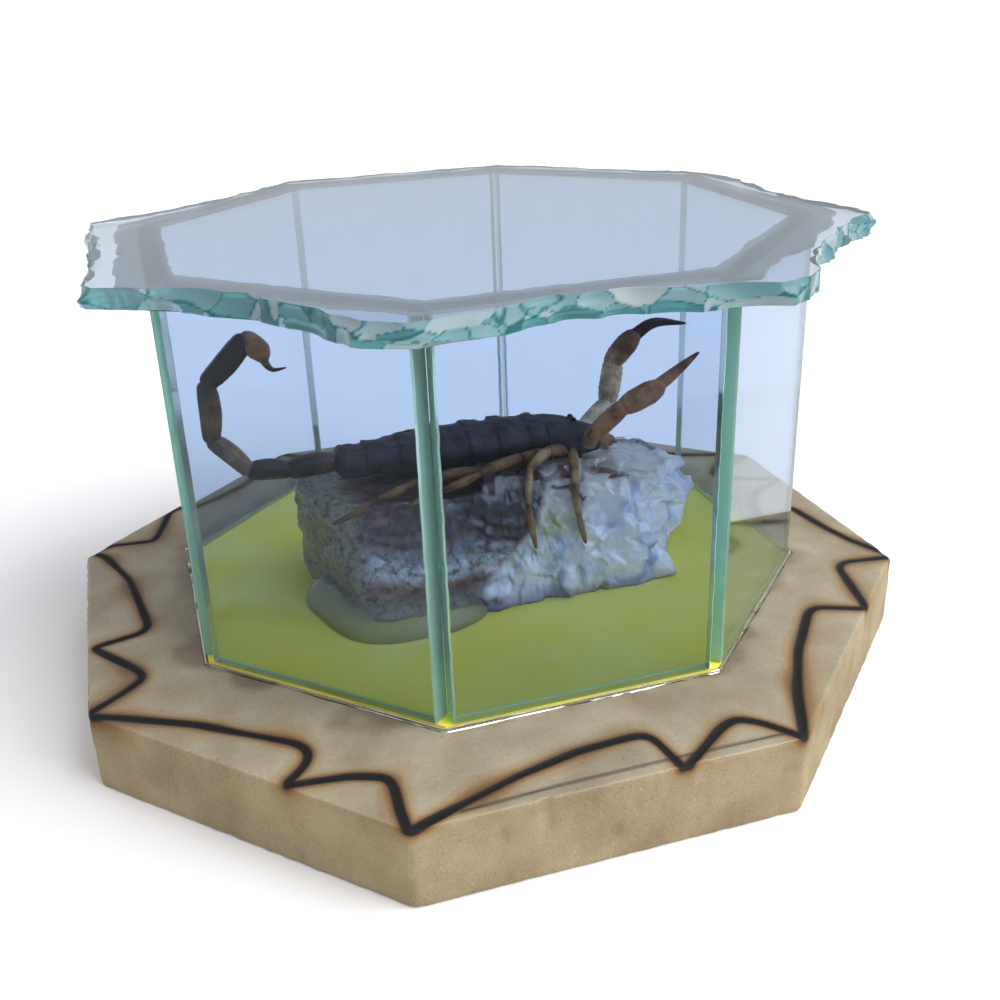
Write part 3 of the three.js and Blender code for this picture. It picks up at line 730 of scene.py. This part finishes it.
def nearest_break(aims, breaks):
    """Distance from the stone's middle along each aim to the nearest flat break: for each plane the height
    of the plane above the middle, over the cosine between aim and plane."""
    reach = np.full(aims.shape[:-1], np.inf)
    for at, facing_way in breaks:
        normal = unit(np.array(facing_way, float))
        rate = aims @ normal
        gap = (np.array(at) - STONE_MIDDLE) @ normal
        reach = np.minimum(reach, np.where(rate > 1e-6, gap / np.maximum(rate, 1e-6), np.inf))
    return reach


def tilted_faces(points, count, slope, seed):
    """Relief of flat broken faces: each point belongs to the nearest of many seats on the surface, and is
    lifted by its way from that seat times the seat's own random slope."""
    random = np.random.default_rng(seed)
    flat = points.reshape(-1, 3)
    area = np.linalg.norm(flat[:, 1:] - STONE_MIDDLE[1:], axis=1)
    seats = flat[random.choice(len(flat), count, replace=False, p=area / area.sum())]
    slopes = random.normal(0, slope, (count, 3))
    nearest = np.argmin((seats ** 2).sum(1) - 2 * flat @ seats.T, axis=1)
    return ((flat - seats[nearest]) * slopes[nearest]).sum(1).reshape(points.shape[:-1])


def quartz_share(points):
    """Share of quartz, 0 to 1 across the slanting line x = z - 21, made wavy by a random field."""
    edge = points[..., 2] - 21.0 + 1.6 * rough(points, 7.0, 3, seed=61)
    return ramp(points[..., 0] - edge, -1.2, 1.6)


def layer_height(points):
    """Height across the layers: z and 0.06 x together, made wavy by a random field."""
    return points[..., 2] + 0.06 * points[..., 0] + 1.4 * rough(points, 8.0, 3, seed=71)


def stone_surface():
    """Grid of (angle from the x axis, angle round it): along each aim the reach is the soft maximum
    (a + b + sqrt((a - b)^2 + seam^2)) / 2 of the nearest dark and quartz breaks, cut down by chips square to
    random directions, then lifted by ledges along the layers, roughness and tilted faces."""
    polar = np.linspace(0, math.pi, STONE_ROWS + 2)[1:-1, None]
    round_x = np.linspace(0, 2 * math.pi, STONE_COLUMNS, endpoint=False)[None]
    aims = np.stack(np.broadcast_arrays(-np.cos(polar), np.sin(polar) * np.cos(round_x),
                                        np.sin(polar) * np.sin(round_x)), -1)
    dark_reach = nearest_break(aims, DARK_BREAKS)
    quartz_reach = nearest_break(aims, QUARTZ_BREAKS)
    reach = (dark_reach + quartz_reach + np.hypot(dark_reach - quartz_reach, SEAM)) / 2 - SEAM / 4
    whole = aims * reach[..., None]
    random = np.random.default_rng(11)
    for way_out in unit(random.normal(size=(CHIPS, 3))):
        furthest = (whole @ way_out).max()
        rate = aims @ way_out
        chip = furthest - random.uniform(0.2, 1.6)
        reach = np.minimum(reach, np.where(rate > 1e-6, chip / np.maximum(rate, 1e-6), np.inf))
    broken = STONE_MIDDLE + aims * reach[..., None]
    quartz = quartz_share(broken)
    ledge = np.abs((layer_height(broken) / LEDGE_STEP) % 1.0 - 0.35)
    upright = 1 - np.abs(aims[..., 2])
    lift = (1 - quartz) * upright * ramp(broken[..., 0], -24.0, -18.0) * 1.1 * (0.4 - ledge)
    lift += (0.5 + 0.1 * quartz) * rough(broken, 4.0, 4, seed=81)
    lift += (0.5 + 0.5 * quartz) * np.clip(tilted_faces(broken, FACES, 0.3, seed=91), -0.9, 0.9)
    surface = STONE_MIDDLE + aims * (reach + lift)[..., None]
    surface[..., 2] = np.maximum(surface[..., 2], PAPER_TOP + 0.08)
    return surface


stone = stone_surface()
print("stone from", stone.min(axis=(0, 1)).round(1), "to", stone.max(axis=(0, 1)).round(1))

# %% [markdown]
# ## Stone material
# The dark half is a fine banded rock, bands of purple-brown, lavender grey and white lying one on the other;
# the quartz is milky ice, letting some light through, with cream and rust at its top. Its white spots are
# partly painted glints, a yellow-green patch at its front is the paper's light painted as shining through,
# and it is painted darker towards its foot as painted shade.

# %% Stone material
# Banded rock and milky quartz in one lump: bands by height, quartz where its own number says so.
banded_stone, tree, output = new_material("banded stone with quartz")
place = add(tree, "TexCoord").outputs["Object"]
layers = add(tree, "Attribute", attribute_name="layer").outputs["Fac"]
ice = add(tree, "Attribute", attribute_name="quartz").outputs["Fac"]
cream = add(tree, "Attribute", attribute_name="cream").outputs["Fac"]
grey = add(tree, "Attribute", attribute_name="grey").outputs["Fac"]
glow = add(tree, "Attribute", attribute_name="glow").outputs["Fac"]
grain = add(tree, "TexNoise", {"Vector": place, "Scale": 1 / (1.1 * MM), "Detail": 5.0, "Roughness": 0.7})
veins = add(tree, "TexNoise", {"Vector": place, "Scale": 1 / (5.0 * MM), "Detail": 5.0, "Distortion": 0.8})
bands = add(tree, "ValToRGB", {"Fac": layers},
            [(0.0, "#B9B8B4"), (0.10, "#A09A92"), (0.16, "#7A5A4C"), (0.25, "#96807A"), (0.31, "#D5DDEA"),
             (0.40, "#C2CBDA"), (0.49, "#8B8A9A"), (0.58, "#564C56"), (0.75, "#433A40"), (1.0, "#4A4248")])
specks = add(tree, "ValToRGB", {"Fac": grain.outputs["Fac"]},
             [(0.36, "#817B7D"), (0.53, "#FFFFFF")])
rusty = add(tree, "ValToRGB", {"Fac": veins.outputs["Fac"]},
            [(0.50, "#000000"), (0.56, "#D0D0D0"), (0.60, "#202020"), (0.66, "#000000")])
streaked = add(tree, "Mix", {0: rusty.outputs[0], 6: bands.outputs[0], 7: "#8E5E4C"}, data_type="RGBA")
left_end = add(tree, "Mix", {0: grey, 6: streaked.outputs[2], 7: "#948E78"}, data_type="RGBA")
dark_rock = add(tree, "Mix", {0: 1.0, 6: left_end.outputs[2], 7: specks.outputs[0]}, data_type="RGBA",
                blend_type="MULTIPLY")
# Milky veins of the quartz; the white at the top of this ramp is partly painted glints.
milk_and_painted_glints = add(tree, "ValToRGB", {"Fac": veins.outputs["Fac"]},
           [(0.32, "#AFC3E6"), (0.43, "#E2ECFB"), (0.52, "#FAFCFF"), (0.62, "#FFFFFF")])
warm = add(tree, "ValToRGB", {"Fac": veins.outputs["Fac"]},
           [(0.38, "#6A3E30"), (0.43, "#CFC6B8"), (0.60, "#F6F2EA")])
top = add(tree, "Mix", {0: cream, 6: milk_and_painted_glints.outputs[0], 7: warm.outputs[0]}, data_type="RGBA")
# Painted light: a yellow-green patch where the paper's light is painted as shining through the quartz.
thin = add(tree, "Mix", {0: glow, 6: top.outputs[2], 7: "#C6C877"}, data_type="RGBA")
# Painted shade: the quartz darkened to purple-grey towards its foot.
foot = add(tree, "ValToRGB", {"Fac": layers}, [(0.03, "#918AA6"), (0.12, "#CDC8DC"), (0.20, "#FFFFFF")])
shaded = add(tree, "Mix", {0: 1.0, 6: thin.outputs[2], 7: foot.outputs[0]}, data_type="RGBA",
             blend_type="MULTIPLY")
stone_colour = add(tree, "Mix", {0: ice, 6: dark_rock.outputs[2], 7: shaded.outputs[2]}, data_type="RGBA")
sheen = add(tree, "MapRange", {"Value": ice, "To Min": 0.4, "To Max": 0.16})
through = add(tree, "MapRange", {"Value": ice, "To Min": 0.0, "To Max": 0.1})
facets = add(tree, "TexVoronoi", {"Vector": place, "Scale": 1 / (3.6 * MM), "Detail": 1.0})
chipped = add(tree, "Bump", {"Height": facets.outputs["Distance"], "Strength": 0.25, "Distance": 0.9 * MM})
bump = add(tree, "Bump", {"Height": grain.outputs["Fac"], "Strength": 0.35, "Distance": 0.4 * MM,
                          "Normal": chipped.outputs[0]})
shader = add(tree, "BsdfPrincipled", {
    "Base Color": stone_colour.outputs[2], "Roughness": sheen.outputs[0], "IOR": 1.54,
    "Coat Weight": 0.5, "Coat Roughness": 0.08,
    "Transmission Weight": through.outputs[0], "Normal": bump.outputs[0]})
tree.links.new(shader.outputs[0], output.inputs[0])

points, faces = capped(stone)
stone_layer = (layer_height(points) - 12.5) / 18.0
stone_grey = ramp(-points[:, 0] + 1.5 * noise(points, 4.0, seed=97), 19.0, 23.5)
stone_cream = ramp(points[:, 2] + 1.5 * noise(points, 5.0, seed=95), 25.5, 28.5)
# Painted glow: strongest at its place, fading over its reach.
stone_glow = np.exp(-(((points - PAINTED_GLOW_PLACE) / PAINTED_GLOW_REACH) ** 2).sum(1))
make_piece("stone", points, faces, [banded_stone], "stone", ["rock"], layer=stone_layer,
           quartz=quartz_share(points), cream=stone_cream, grey=stone_grey, glow=stone_glow)

# %% [markdown]
# ## The glue puddle
# The stone was set in a generous pool of clear glue that ran out to the left and front and set with a
# smooth round edge: a low dome over a wavy oval.

# %% Puddle
PUDDLE_MIDDLE = np.array([-14.8, -8.2])
PUDDLE_RADII = np.array([15.4, 14.6])
PUDDLE_HEIGHT = 4.6
PUDDLE_COLUMNS = 240


def puddle_surface():
    """Low dome over an oval with a waver of three and five waves: at share p of the way out the height is
    the full height times sqrt(1 - p^3); two rings underneath close it."""
    angle = np.linspace(0, 2 * math.pi, PUDDLE_COLUMNS, endpoint=False)
    oval = PUDDLE_RADII * np.stack([np.cos(angle), np.sin(angle)], -1)
    oval *= (1 + 0.04 * np.sin(3 * angle + 0.7) + 0.025 * np.sin(5 * angle))[:, None]
    part = np.concatenate([[0.3, 0.95], np.sin(np.linspace(math.pi / 2, 0.06, 40))])
    lift = np.concatenate([[0.0, 0.0], np.maximum(PUDDLE_HEIGHT * np.sqrt(1 - part[2:] ** 3), 0.02)])
    rings = np.empty((len(part), PUDDLE_COLUMNS, 3))
    rings[..., :2] = PUDDLE_MIDDLE + part[:, None, None] * oval
    rings[..., 2] = PAPER_TOP - 0.05 + lift[:, None]
    return rings


points, faces = capped(puddle_surface())
make_piece("glue_puddle", points, faces, [pool_glue], "adhesive", ["rock_glue"])

# %% [markdown]
# ## Chitin
# A dried scorpion is all one stuff, chitin, but its plates differ: the back blue-black and granular, the
# tail dark brown, the legs and the near claw reddish brown, the far claw bleached at the arm and black at
# the fingers. One function makes each from a ramp of colours along the limb.

# %% Chitin materials
def chitin(name, stops, roughness, grain_size):
    """Plates of chitin: colour by place along the limb, granules of this size in mm."""
    material, tree, output = new_material(name)
    place = add(tree, "TexCoord").outputs["Object"]
    tone = add(tree, "Attribute", attribute_name="tone").outputs["Fac"]
    grains = add(tree, "TexNoise", {"Vector": place, "Scale": 1 / (grain_size * MM), "Detail": 3.0,
                                    "Roughness": 0.6})
    blotch = add(tree, "TexNoise", {"Vector": place, "Scale": 1 / (2.4 * MM), "Detail": 4.0})
    colour = add(tree, "ValToRGB", {"Fac": tone}, stops)
    mottle = add(tree, "ValToRGB", {"Fac": blotch.outputs["Fac"]}, [(0.32, "#9C9896"), (0.62, "#FFFFFF")])
    mixed = add(tree, "Mix", {0: 1.0, 6: colour.outputs[0], 7: mottle.outputs[0]}, data_type="RGBA",
                blend_type="MULTIPLY")
    bump = add(tree, "Bump", {"Height": grains.outputs["Fac"], "Strength": 0.7, "Distance": 0.35 * MM})
    shader = add(tree, "BsdfPrincipled", {
        "Base Color": mixed.outputs[2], "Roughness": roughness, "IOR": 1.56, "Specular IOR Level": 0.25,
        "Normal": bump.outputs[0]})
    tree.links.new(shader.outputs[0], output.inputs[0])
    return material


# Back plates: blue-black, dull, the hind edges of the plates browner.
back_chitin = chitin("blue-black chitin", [(0.0, "#3A3741"), (0.7, "#34313A"), (1.0, "#4A3F3C")], 0.45, 0.6)
# Tail: dark brown, almost black at its end, the bulb amber.
tail_chitin = chitin("dark brown chitin", [(0.0, "#17110E"), (0.3, "#54422F"), (0.5, "#BE8A4E"),
                                            (0.62, "#7E7064"), (0.85, "#1E1712"), (1.0, "#17120F")],
                     0.38, 0.4)
# Legs: reddish brown, paler at the joints.
leg_chitin = chitin("red-brown chitin", [(0.0, "#5A3A2A"), (0.5, "#B48A5C"), (1.0, "#E0C49A")], 0.4, 0.4)
# Near claw: orange brown, darker at the fingers.
claw_chitin = chitin("brown claw chitin", [(0.0, "#E6CFA8"), (0.35, "#B98660"), (0.7, "#B07C5C"),
                                          (1.0, "#7A4C36")], 0.4, 0.5)
# Far claw: bleached tan at the arm, then dark brown, black at the finger tips.
far_chitin = chitin("bleached claw chitin", [(0.0, "#F6E4C4"), (0.35, "#EBCB9C"), (0.55, "#8C5E3E"),
                                             (0.8, "#2A1A12"), (1.0, "#120B08")], 0.38, 0.5)
CHITINS = [back_chitin, tail_chitin, leg_chitin, claw_chitin, far_chitin]
BACK, TAIL, LEG, CLAW, FAR = range(5)

# %% [markdown]
# ## Limbs as swept tubes
# Every plate and joint of the animal is a closed tube: a smooth path, a girth along it that is rounded to
# nothing at both ends, and a cross-section that may be flattened or ridged with keels.

# %% Swept tubes
scorpion = {"points": [], "faces": [], "which": [], "tone": [], "count": 0}


def smooth_path(points, rows):
    """Catmull-Rom curve: between each pair of points, the cubic whose slopes at both ends are half the
    step between the neighbours."""
    points = np.asarray(points, float)
    held = np.vstack([2 * points[0] - points[1], points, 2 * points[-1] - points[-2]])
    place = np.linspace(0, len(points) - 1 - 1e-9, rows)
    i = place.astype(int)
    t = (place - i)[:, None]
    a, b, c, d = held[i], held[i + 1], held[i + 2], held[i + 3]
    square = (2 * a - 5 * b + 4 * c - d) * t ** 2
    cube = (3 * b - a - 3 * c + d) * t ** 3
    return 0.5 * (2 * b + (c - a) * t + square + cube)


def tube(points, girths, material, tones=(0.0, 1.0), sides=20, rows=36, flat=1.0, keels=(), keel=0.0,
         up=(0.25, 0.1, 1.0), end=0.16, dents=0.0):
    """Closed tube: round each point of the smooth path an ellipse at right angles to it, girth wide and
    girth times flat tall, swollen by narrow bumps at the keel angles and closed by a half circle at the
    ends."""
    path = smooth_path(points, rows)
    way = (1 - np.cos(np.linspace(0.02, 0.98, rows) * math.pi)) / 2
    path = np.stack([np.interp(way, np.linspace(0, 1, rows), path[:, i]) for i in range(3)], -1)
    along = unit(np.gradient(path, axis=0))
    side = unit(np.cross(np.array(up), along))
    top = np.cross(along, side)
    angle = np.linspace(0, 2 * math.pi, sides, endpoint=False)
    bumps = 1.0 + sum(keel * np.exp(-(((angle - k + math.pi) % (2 * math.pi) - math.pi) / 0.17) ** 2)
                      for k in keels) + 0 * angle
    girth = np.interp(way, np.linspace(0, 1, len(girths)), girths)
    near_end = np.clip(np.minimum(way, 1 - way) / end, 0, 1)
    girth = girth * np.sqrt(1 - (1 - near_end) ** 2)
    swell = 1 + (bumps - 1)[None] * (1 + dents * np.sin(way * 60)[:, None])
    radius = girth[:, None] * swell
    rings = path[:, None] + radius[..., None] * (
        np.cos(angle)[None, :, None] * side[:, None] + flat * np.sin(angle)[None, :, None] * top[:, None])
    tone = np.repeat(np.interp(way, np.linspace(0, 1, len(tones)), tones), sides)
    keep(rings, material, np.concatenate([tone, [tones[0], tones[-1]]]))


def keep(rings, material, tone):
    """Close a stack of rings and add it to the animal's arrays."""
    points, faces = capped(rings)
    scorpion["points"].append(points)
    scorpion["faces"] += [group + scorpion["count"] for group in faces]
    scorpion["which"] += [np.full(len(group), material) for group in faces]
    scorpion["tone"].append(tone)
    scorpion["count"] += len(points)


# %% [markdown]
# ## Trunk and head
# The back of the trunk is seven overlapping plates, each rising to its hind edge and stepping down to the
# next; the head shield is one trapezoid plate with a groove and a pair of eyes on a low mound.

# %% Trunk and head
TRUNK_FRONT = np.array([13.0, 0.0, 33.9])
TRUNK_BACK = np.array([-23.0, 0.0, 33.9])
TRUNK_HALF_WIDTH = 5.3
TRUNK_FLATNESS = 0.67
PLATES = 7
PLATE_STEP = 0.42
TRUNK_ROWS, TRUNK_SIDES = 150, 56


def superellipse(angle, wide, tall):
    """Sideways and upward parts of a rounded box: cosine and sine of the angle, each raised to its own power
    with its sign kept."""
    sideways, upward = np.cos(angle), np.sin(angle)
    return np.abs(sideways) ** wide * np.sign(sideways), np.abs(upward) ** tall * np.sign(upward)


def trunk_surface():
    """Grid of (way along the trunk, angle round it): a rounded section whose half width swells and narrows,
    raised towards the hind edge of each plate, with three keels, a fold along each flank and granules."""
    way = np.linspace(0.003, 0.997, TRUNK_ROWS)[:, None]
    angle = np.linspace(0, 2 * math.pi, TRUNK_SIDES, endpoint=False)[None]
    half_width = TRUNK_HALF_WIDTH * (0.84 + 0.16 * np.sin(math.pi * np.minimum(1, 1.25 * way))
                                     - 0.5 * np.maximum(0, way - 0.62))
    closing = np.sqrt(1 - (1 - np.clip(np.minimum(way, 1 - way) / 0.05, 0, 1)) ** 2)
    plate = (way * PLATES) % 1.0
    rise = PLATE_STEP * (plate ** 1.5 - 0.5) * ramp(np.sin(angle), -0.35, 0.1)
    ridge = 0.22 * np.exp(-((angle - math.pi / 2) / 0.1) ** 2)
    ridge = ridge + 0.15 * np.exp(-((np.abs(angle - math.pi / 2) - 0.62) / 0.1) ** 2)
    fold = -0.35 * np.exp(-((np.sin(angle) + 0.22) / 0.14) ** 2)
    radius = closing * (half_width + rise + ridge * ramp(plate, 0.1, 0.5) + fold)
    sideways, upward = superellipse(angle, 0.9, 0.85)
    trunk = np.empty((TRUNK_ROWS, TRUNK_SIDES, 3))
    trunk[..., 0] = TRUNK_FRONT[0] + (TRUNK_BACK[0] - TRUNK_FRONT[0]) * way
    trunk[..., 1] = -radius * sideways
    trunk[..., 2] = TRUNK_FRONT[2] + TRUNK_FLATNESS * radius * upward
    tone = np.broadcast_to(plate ** 6, trunk.shape[:2]).ravel()
    trunk[..., 2] += 0.24 * rough(trunk, 1.3, 2, seed=101) * ramp(np.sin(angle), -0.2, 0.3)
    return trunk[:, ::-1], np.append(tone, [0, 0])


trunk, trunk_tone = trunk_surface()
keep(trunk, BACK, trunk_tone)

HEAD_FRONT = np.array([21.6, 0.0, 31.9])
HEAD_BACK = np.array([10.5, 0.0, 34.0])
HEAD_HALF_WIDTHS = [2.7, 3.5, 4.3, 4.8, 4.9, 4.5]
HEAD_ROWS, HEAD_SIDES = 60, 48


def head_surface():
    """Grid of (way along the head, angle round it): a rounded section of the listed half widths, a groove
    down the middle and a mound for the eyes."""
    way = np.linspace(0.004, 0.996, HEAD_ROWS)[:, None]
    angle = np.linspace(0, 2 * math.pi, HEAD_SIDES, endpoint=False)[None]
    half_width = np.interp(way, np.linspace(0, 1, len(HEAD_HALF_WIDTHS)), HEAD_HALF_WIDTHS)
    closing = np.sqrt(1 - (1 - np.clip(np.minimum(way, 1 - way) / 0.08, 0, 1)) ** 2)
    groove = -0.4 * np.exp(-((angle - math.pi / 2) / 0.12) ** 2) * (1 - np.exp(-((way - 0.42) / 0.1) ** 2))
    mound = 0.5 * np.exp(-((angle - math.pi / 2) / 0.28) ** 2 - ((way - 0.42) / 0.1) ** 2)
    radius = closing * (half_width + groove + mound)
    sideways, upward = superellipse(angle, 0.8, 0.8)
    head = np.empty((HEAD_ROWS, HEAD_SIDES, 3))
    head[..., 0] = HEAD_FRONT[0] + (HEAD_BACK[0] - HEAD_FRONT[0]) * way
    head[..., 1] = -radius * sideways
    head[..., 2] = HEAD_FRONT[2] + (HEAD_BACK[2] - HEAD_FRONT[2]) * way + 0.66 * radius * upward
    return head[:, ::-1]


keep(head_surface(), BACK, np.zeros(HEAD_ROWS * HEAD_SIDES + 2))
for y in (-1, 1):
    tube([(17.3, 0.8 * y, 35.9), (16.3, 0.8 * y, 36.1)], [0.5, 0.5], TAIL, (1.0, 1.0),
         sides=12, rows=12, end=0.5)
    tube([(20.2, 1.2 * y, 32.0), (22.3, 1.25 * y, 31.8), (24.0, 1.1 * y, 31.2)], [1.2, 1.25, 0.85], CLAW,
         (0.5, 0.9), sides=16, rows=20)
    tube([(23.6, 0.9 * y, 31.3), (24.9, 0.6 * y, 30.7)], [0.5, 0.25], TAIL, sides=10, rows=12)

# %% [markdown]
# ## Tail and sting
# Five keeled rings carry the tail back, up and over; the last is the longest. The bulb hangs forward from
# its end and runs out in the thin curved sting.

# %% Tail
TAIL_JOINTS = np.array([(-22.3, 0, 34.1), (-29.8, 0, 33.9), (-36.1, 0, 34.6), (-41.2, 0, 40.6),
                        (-40.9, 0, 49.6), (-34.4, 0, 55.9)])
TAIL_GIRTHS = [1.7, 1.55, 1.45, 1.65, 1.7]
TAIL_TONES = [(0.75, 0.9), (0.9, 1.0), (0.62, 0.58, 0.75), (0.25, 0.36, 0.34, 0.15), (0.95, 1.0)]
TAIL_KEELS = np.radians([28, 70, 118, 155, 205, 242, 290, 332])
for start, end_point, girth, tones in zip(TAIL_JOINTS[:-1], TAIL_JOINTS[1:], TAIL_GIRTHS, TAIL_TONES):
    way_on = unit(end_point - start)
    inward = np.cross(way_on, [0.0, -1.0, 0.0])
    tube([start - 0.5 * way_on, (start + end_point) / 2 + 0.3 * inward, end_point + 0.6 * way_on],
         [0.74 * girth, 0.95 * girth, 1.04 * girth, girth, 0.78 * girth], TAIL, tones, sides=64, rows=70,
         flat=0.95, keels=TAIL_KEELS, keel=0.07, up=(0.0, 1.0, 0.0), end=0.1, dents=0.2)
tube([(-35.3, 0, 56.0), (-33.9, 0, 55.4), (-32.4, 0, 53.8), (-31.7, 0, 51.9)], [1.1, 1.7, 1.75, 0.9],
     TAIL, (0.9, 0.5, 0.5, 0.3), sides=28, rows=40, up=(0.0, 1.0, 0.0), end=0.2)
tube([(-32.0, 0, 53.0), (-31.6, 0, 51.6), (-30.6, 0, 50.6), (-28.6, 0, 50.7)], [0.85, 0.58, 0.36, 0.12],
     TAIL, (0.5, 0.0), sides=16, rows=36, up=(0.0, 1.0, 0.0), end=0.06)

# %% [markdown]
# ## Claws and legs
# Each claw is an arm of two joints, a swollen hand and two fingers that meet at the tip. Each leg is four
# joints of falling girth, knee high, ending in a thin foot.

# %% Claws and legs
def claw(joints, fingers, girths, material, tones):
    """Arm, forearm and hand as keeled tubes between the joints, then two fingers along one curve, set half
    a finger apart and meeting at the tip."""
    for i in range(3):
        a, b = np.array(joints[2 * i], float), np.array(joints[2 * i + 1], float)
        bulge = [0.82, 1.0, 1.0, 0.85] if i < 2 else [0.75, 1.1, 1.12, 0.7]
        on = unit(b - a) * 0.45 * girths[i]
        tube([a - on, (a + b) / 2, b + on], [girths[i] * k for k in bulge], material,
             (tones[i], tones[i + 1]), sides=36, rows=46, flat=0.92,
             keels=np.radians([40, 90, 140, 220, 320]), keel=0.07, dents=0.6, end=0.2)
    spine = np.array(fingers, float)
    aside = np.array([-0.35, 0.0, 0.6])
    for way, thick in ((1, 0.95), (-1, 0.8)):
        line = spine + way * 0.5 * aside * np.array([1.0, 1.0, 0.12])[:, None]
        tube(line, [1.0 * thick, 0.8 * thick, 0.55 * thick, 0.2], material, (tones[3], tones[4]), sides=18,
             rows=36, end=0.08)


claw([(18.6, -3.2, 32.2), (17.6, -7.6, 35.6), (17.3, -7.6, 35.2), (22.8, -8.5, 40.2), (22.4, -8.5, 39.9),
      (29.3, -8.0, 42.5)], [(28.2, -8.0, 42.1), (32.4, -7.6, 44.6), (36.7, -6.8, 47.1)], [1.3, 1.6, 1.85],
     CLAW, [0.0, 0.35, 0.5, 0.65, 1.0])
claw([(19.6, 3.2, 32.2), (26.2, 7.2, 35.4), (26.2, 7.2, 35.2), (28.0, 8.6, 42.6), (27.2, 8.6, 41.6),
      (31.9, 8.4, 46.7)], [(31.2, 8.4, 46.0), (35.2, 7.8, 48.4), (40.7, 6.4, 48.1)], [1.4, 1.85, 1.85],
     FAR, [0.0, 0.1, 0.35, 0.75, 1.0])

LEG_GIRTHS = [0.85, 0.76, 0.57, 0.44, 0.2]
LEGS = [
    [(15.4, -4, 31.6), (13.2, -10.8, 31), (12, -14.6, 28.2), (12, -16, 25.6), (12.6, -17.4, 21.3)],
    [(14, -4, 31.8), (10, -7.5, 33.8), (5.6, -11, 32.8), (3.6, -15.8, 28.5), (4.2, -17.5, 21.9)],
    [(11, -4, 31.8), (5, -8, 33.4), (-2.5, -10.2, 32.8), (-9, -11.6, 31.6), (-14.5, -13, 30.2)],
    [(8, -4, 31.8), (-1.4, -8, 32.2), (-10.5, -8.8, 32.8), (-18.5, -11.2, 31.4), (-25.6, -13.2, 29.4)],
    [(15.4, 4, 31.6), (18, 9, 32.5), (20, 12.6, 30), (21, 14.2, 26), (21.5, 15.6, 22.5)],
    [(12.5, 4, 31.8), (12, 10, 33.6), (11, 13.6, 30.6), (10.5, 14.8, 26.5), (10.8, 16, 23)],
    [(9.5, 4, 31.8), (3, 9.5, 33.4), (-3, 13, 31.6), (-6.5, 14.6, 28), (-7.5, 15.8, 24)],
    [(6.5, 4, 31.8), (-2, 9, 33.2), (-11, 11.2, 32.6), (-18, 12.8, 30.6), (-23.5, 14.2, 28)],
]
for number, joints in enumerate(LEGS):
    joints = np.array(joints, float)
    tones = (0.45, 0.7, 0.25) if number % 4 < 2 else (0.1, 0.3, 0.0)
    for i in range(4):
        a, b = joints[i], joints[i + 1]
        thick, thin = LEG_GIRTHS[i], LEG_GIRTHS[i + 1]
        sag = np.array([0.0, 0.0, 0.25 if i < 2 else -0.15])
        on = unit(b - a) * 0.5 * thin
        tube([a - on, (a + b) / 2 + sag, b + on], [0.85 * thick, 1.05 * thick, 0.95 * thick, thin], LEG,
             tones, sides=20, rows=34, flat=1.15, keels=np.radians([60, 120, 270]), keel=0.08,
             end=0.08)

points = np.vstack(scorpion["points"])
make_piece("specimen", points, scorpion["faces"], CHITINS, "chitin", ["scorpion"],
           which=np.concatenate(scorpion["which"]), tone=np.concatenate(scorpion["tone"]))
